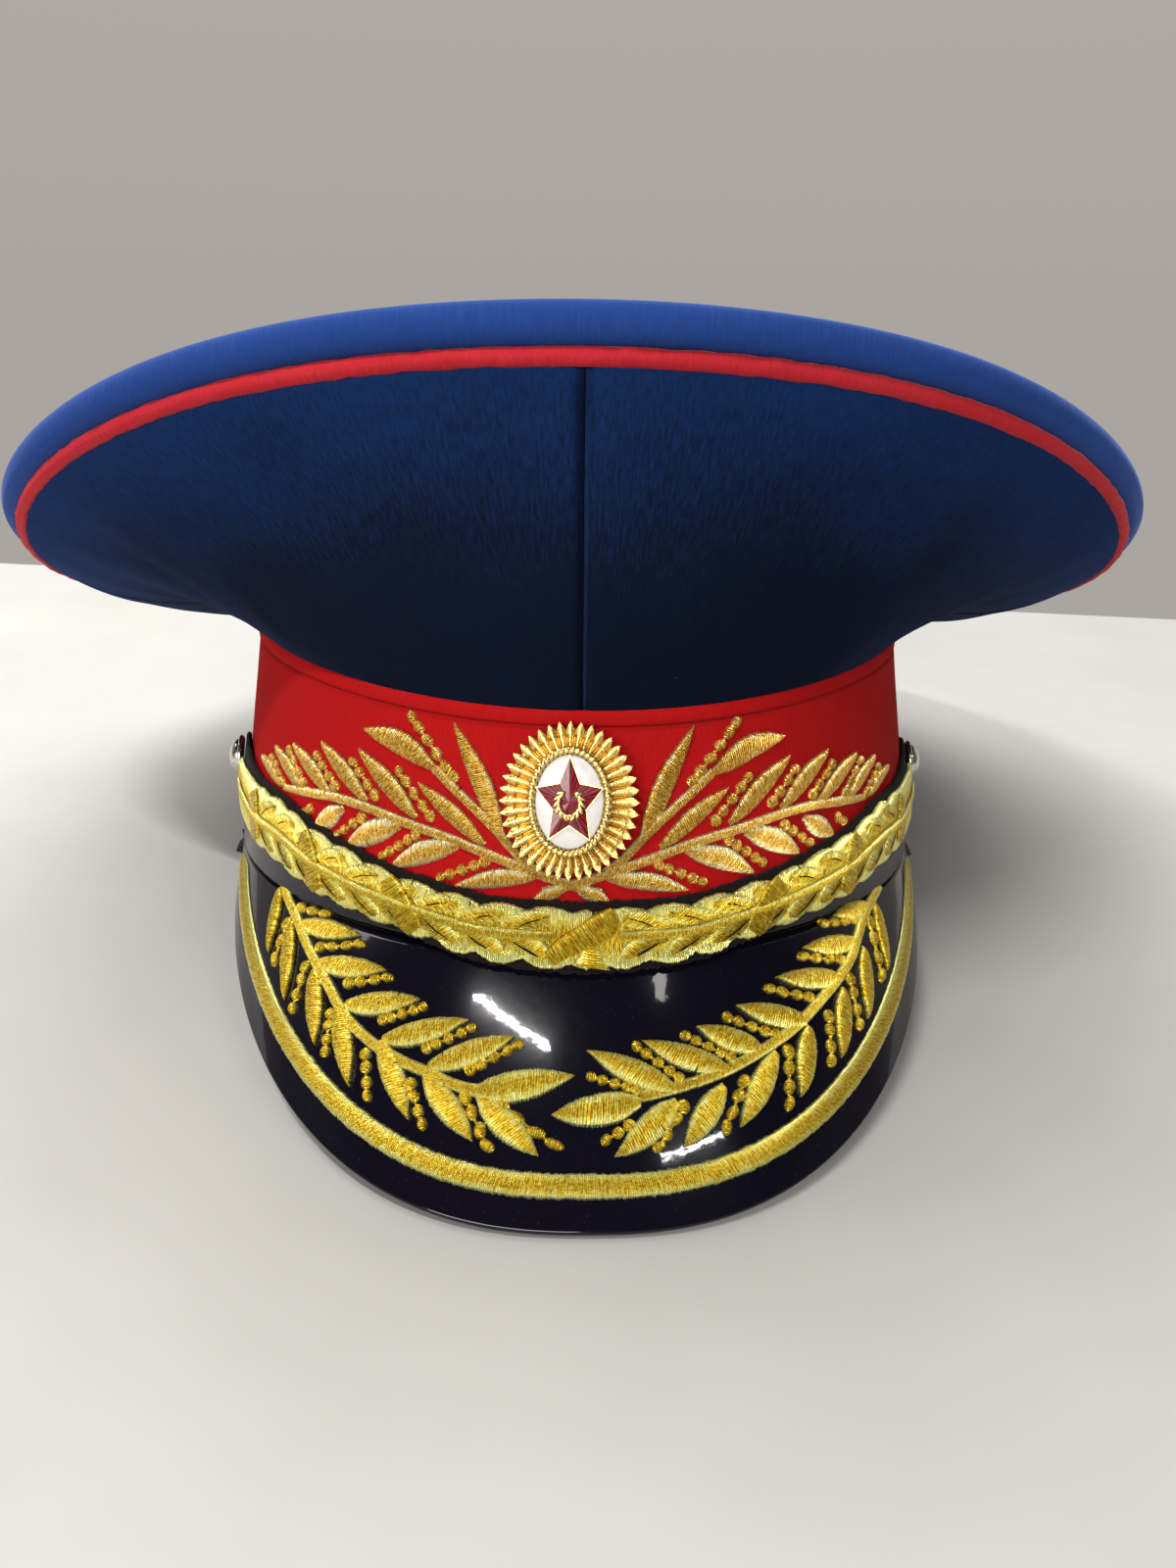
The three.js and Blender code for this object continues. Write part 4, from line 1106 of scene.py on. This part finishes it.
# ---- the buttons and the cockade
def mounted(along, height, lift):
    """A frame on the band: x along it, y up its wall, z out of it."""
    angle = band_angle(along)
    place = band_point(angle, height, lift)
    up_wall = (band_point(angle, height + 1, lift) - place).normalized()
    side = up_wall.cross(band_out(angle)).normalized()
    return axes(side, up_wall, side.cross(up_wall), place)


def turned(mesh, profile, steps):
    """Spins a profile of (radius, height) points round z into a closed solid."""
    verts = [mesh.verts.new((radius, 0, height)) for radius, height in profile]
    edges = [mesh.edges.new(pair) for pair in zip(verts, verts[1:])]
    bmesh.ops.spin(
        mesh, geom=verts + edges, cent=(0, 0, 0), axis=UP, angle=tau, steps=steps, use_merge=True)
    bmesh.ops.remove_doubles(mesh, verts=mesh.verts, dist=WELD)
    for face in mesh.faces:
        face.smooth = True


def button(name, side):
    """A domed button with a rolled rim and a groove inside it."""
    radius, foot, rise = 4.1, 1.1, 2.2
    dome = [(radius * cos(t * pi / 24), foot + rise * sin(t * pi / 24)) for t in range(12)]
    rim = [(0, 0), (4.3, 0), (4.85, 0.25), (5.0, 0.7), (4.9, 1.15), (4.6, 1.35), (4.3, 1.3), (4.15, foot)]
    mesh = bmesh.new()
    turned(mesh, [*rim, *dome, (0, foot + rise)], 48)
    place = mounted(side * BUTTON_ALONG, 18, 1.85)
    return finish_piece(mesh, f"{name}_dome", NICKEL, name, place)


BADGE = mounted(BADGE_SHIFT - 0.5, 27.7, 1.55)
RAYS = dict(count=40, root=(7.3, 9.8), tip=(13.0, 14.8), notch=0.12, height=1.35)
ROPE = dict(oval=(7.0, 9.45), radius=0.7, twists=46, height=2.2)
STAR_TURNS = 10  # its five points and the five notches between them


def oval(half_width, half_height, turn):
    return Vector((half_width * sin(turn), half_height * cos(turn), 0))


def cockade_rays():
    """A stamped oval of pointed rays, each a flat bar nicked like a feather, with deep gaps between."""
    mesh = bmesh.new()
    per_ray = 8
    face_end = 0.8  # the rest of the section is the plate's flat back

    def place(u, v):
        turn = u * tau
        off = 1 - abs(2 * ((u * RAYS["count"]) % 1) - 1)  # 0 in the middle of a ray, 1 between two
        inner = oval(*RAYS["root"], turn)
        outer = oval(*RAYS["tip"], turn) * (1 - RAYS["notch"] * off)
        if v == 0:
            return inner
        if v > face_end:
            return mix(outer, inner, (v - face_end) / (1 - face_end))
        t = v / face_end
        bar = mix(0.52, 0.9, t)
        face = 1 - 0.25 * (off / bar) ** 2 if off < bar else 0.0
        nick = (t * 9 + off * 1.8) % 1
        feather = 0.13 * (nick < 0.3) * (t > 0.2)
        level = mix(0.35, 0.25, t) + RAYS["height"] * face * mix(1, 0.75, t) - feather * face
        return mix(inner, outer, t) + Vector((0, 0, level))

    bend(mesh, RAYS["count"] * per_ray, 60, place, lambda u, v: (u * 90, v * 20))
    return finish_piece(mesh, "ray_plate", GILT, "cockade_rays", BADGE)


def cockade_rope():
    """A twisted wire ring round the enamel."""
    mesh = bmesh.new()
    per_twist = 8

    def place(u, v):
        turn, round_wire = u * tau, v * tau
        centre = oval(*ROPE["oval"], turn)
        radius = ROPE["radius"] * (1 + 0.2 * cos(2 * round_wire + ROPE["twists"] * turn))
        level = ROPE["height"] + radius * 0.85 * sin(round_wire)
        return centre + centre.normalized() * radius * cos(round_wire) + Vector((0, 0, level))

    bend(mesh, ROPE["twists"] * per_twist, 14, place, lambda u, v: (u * 52, v * 5))
    return finish_piece(mesh, "rope_ring", GILT, "cockade_rope", BADGE)


def cockade_enamel():
    """The white field: a low dome, drawn out to an oval."""
    half_width, half_height = 6.2, 8.6
    profile = [(0, 1.5), (half_width, 1.5), (6.25, 1.9), (6.0, 2.15), (4.5, 2.3), (2.5, 2.4), (0, 2.45)]
    mesh = bmesh.new()
    turned(mesh, profile, 64)
    place = BADGE @ Matrix.Diagonal((1, half_height / half_width, 1, 1))
    return finish_piece(mesh, "white_oval", WHITE_ENAMEL, "cockade_enamel", place)


def star_plate(mesh, half_width, half_height, low, edge, peak_height):
    """A five-pointed star with ridged arms, as a closed plate."""
    waist = 0.5
    layer = uv_layer(mesh)
    disc = bmesh.ops.create_circle(mesh, cap_ends=True, segments=STAR_TURNS, radius=1)["verts"]
    for i, vert in enumerate(disc):
        share = waist if i % 2 else 1
        vert.co = oval(half_width * share, half_height * share, i * tau / STAR_TURNS) + Vector((0, 0, low))
    raised = bmesh.ops.extrude_face_region(mesh, geom=mesh.faces[:])["geom"]
    for vert in (item for item in raised if isinstance(item, bmesh.types.BMVert)):
        vert.co.z = edge
    top = [item for item in raised if isinstance(item, bmesh.types.BMFace)]
    for vert in bmesh.ops.poke(mesh, faces=top)["verts"]:
        vert.co.z = peak_height
    bmesh.ops.subdivide_edges(mesh, edges=mesh.edges, cuts=2, use_grid_fill=True)
    for face in mesh.faces:
        for loop in face.loops:
            place = loop.vert.co
            loop[layer].uv = (atan2(place.x, place.y) * 4, hypot(place.x, place.y))


def cockade_star():
    """The ruby star, ridged along its arms."""
    mesh = bmesh.new()
    star_plate(mesh, 6.3, 8.3, 2.3, 2.7, 3.3)
    return finish_piece(mesh, "ruby_star", RED_ENAMEL, "cockade_star", BADGE)


def cockade_device():
    """The star's gilt rim, and a small open wreath of leaves at its centre."""
    mesh = bmesh.new()
    star_plate(mesh, 6.55, 8.65, 2.2, 2.55, 2.56)
    level = 3.7
    for side in (-1, 1):
        for k in range(6):
            turn = side * (0.45 + k * 0.42) + pi
            centre = Vector((sin(turn) * 2.1, cos(turn) * 2.4 - 0.2, level))
            ahead = Vector((-cos(turn) * side, sin(turn) * side, 0)).normalized()
            for lean in (-0.5, 0.5):
                heading = turn_about("Z", lean) @ ahead
                sideways = Vector((-heading.y, heading.x, 0))
                leaf = axes(heading * 0.85, sideways * 0.34, UP * 0.3, centre + heading * 0.45)
                bmesh.ops.create_uvsphere(mesh, u_segments=8, v_segments=6, radius=1, matrix=leaf)
    knot = Matrix.Translation((0, -2.7, level))
    bmesh.ops.create_uvsphere(mesh, u_segments=12, v_segments=8, radius=0.45, matrix=knot)
    for face in mesh.faces:
        face.smooth = len(face.verts) == 4 and face.calc_area() < 0.2  # the wreath, not the star's flats
    return finish_piece(mesh, "star_rim_and_wreath", GILT, "cockade_device", BADGE)


# ---- building
band_cloth = hoop("band_cloth", RED_WOOL, "cap_band", band_section, 240, 60)
hoop("welt_cloth", RED_WOOL, "band_welt", welt_section, 300, 12)
# the cut sizes in metres, with an allowance turned in at each seam, and the flat area of each cut
QUARTER_CUTS = [
    ("crown_front_right", -90, (0.235, 0.070), 0.0112),
    ("crown_front_left", 0, (0.235, 0.070), 0.0112),
    ("crown_back_left", 90, (0.240, 0.078), 0.0126),
    ("crown_back_right", 180, (0.240, 0.078), 0.0126),
]
for quarter_name, start, cut, area in QUARTER_CUTS:
    panel = quarter(quarter_name, start)
piping()
crown_top()
peak()
border()
strap_backing()
strap_gold()
band_spray("band_laurel_right", -1, 21)
band_spray("band_laurel_left", 1, 22)
peak_spray("peak_laurel_right", 23)
peak_spray("peak_laurel_left", 24)
button("button_right", -1)
button("button_left", 1)
cockade_rays()
cockade_rope()
cockade_enamel()
cockade_star()
cockade_device()


# ---- floor and light
def pale_floor():
    """A matt painted table top, warm off-white, set askew to the cap, with its far edge behind it."""
    mottle_size = 60 * MM
    material, tree, surface = new_material("matt_painted_board", Roughness=0.75)
    place = node(tree, "TexCoord").outputs["Object"]
    mottle = node(tree, "TexNoise", {"Vector": place, "Scale": 1 / mottle_size, "Detail": 4})
    colour = node(tree, "ValToRGB", {"Fac": mottle}, [(0.3, "#a2a19f"), (0.7, "#a8a7a5")])
    join(surface, Base_Color=colour)
    mesh = bmesh.new()
    board = Matrix.Translation((0, -0.73, 0)) @ turn_about("Z", radians(-8)).to_4x4()
    bmesh.ops.create_grid(mesh, x_segments=1, y_segments=1, size=1, matrix=board)
    add_mesh("floor", mesh, material)


# each light's name, its middle line, its width and its target, in millimetres, and its power
LIGHTS = [
    ("ceiling_tube", (-423, -248, 1000), (-101, -463, 1000), 7, (0, -80, 60), 7),
    ("ceiling_tube_right", (347, -812, 1000), (732, -688, 1000), 14, (0, -80, 60), 2),
    ("ceiling_lamp", (300, -221, 1000), (350, -221, 1000), 110, (0, -80, 60), 0.25),
    ("ceiling_panel", (-1250, 500, 900), (550, 500, 900), 700, (0, 0, 60), 25.5),
    ("front_panel", (-800, -1000, 450), (0, -1200, 450), 350, (0, -60, 60), 13),
]


def softbox(name, start, end, width, target, power):
    """A rectangular light along its middle line, facing its target."""
    start, end, target = Vector(start) * MM, Vector(end) * MM, Vector(target) * MM
    data = bpy.data.lights.new(name, "AREA")
    data.shape = "RECTANGLE"
    data.size, data.size_y = (end - start).length, width * MM
    data.energy = power
    data.color = linear("#fffdf9")[:3]
    centre = (start + end) / 2
    along = (end - start).normalized()
    back = centre - target
    back = (back - along * back.dot(along)).normalized()
    add_object(name, data).matrix_world = axes(along, back.cross(along), back, centre)


def studio_walls():
    """A plain room: a pale wall behind the table, the rest of it dim."""
    world = bpy.data.worlds.new("studio")
    bpy.context.scene.world = world
    world.use_nodes = True
    tree = world.node_tree
    direction = node(tree, "TexCoord").outputs["Generated"]
    across = node(tree, "SeparateXYZ", {"Vector": direction})
    walls = node(tree, "ValToRGB", {"Fac": across.outputs["Z"]},
                 [(0.0, "#aaa59f"), (0.4, "#b6b1ac"), (0.75, "#8a8784"), (1.0, "#2a2927")])
    front = node(tree, "ValToRGB", {"Fac": across.outputs["Z"]},
                 [(0.0, "#6a6763"), (0.35, "#6a6763"), (0.55, "#2e2c2a"), (1.0, "#2a2927")])
    behind = node(tree, "MapRange", {"Value": across.outputs["Y"], "From Min": 0.15, "From Max": 0.45})
    both = node(tree, "Mix", {
        "Factor": behind, COLOUR_A: front, COLOUR_B: walls,
    }, data_type="RGBA")
    join(tree.nodes["Background"], Color=both.outputs[MIXED_COLOUR])


pale_floor()
for light in LIGHTS:
    softbox(*light)
studio_walls()
bpy.context.scene.view_settings.view_transform = "Standard"
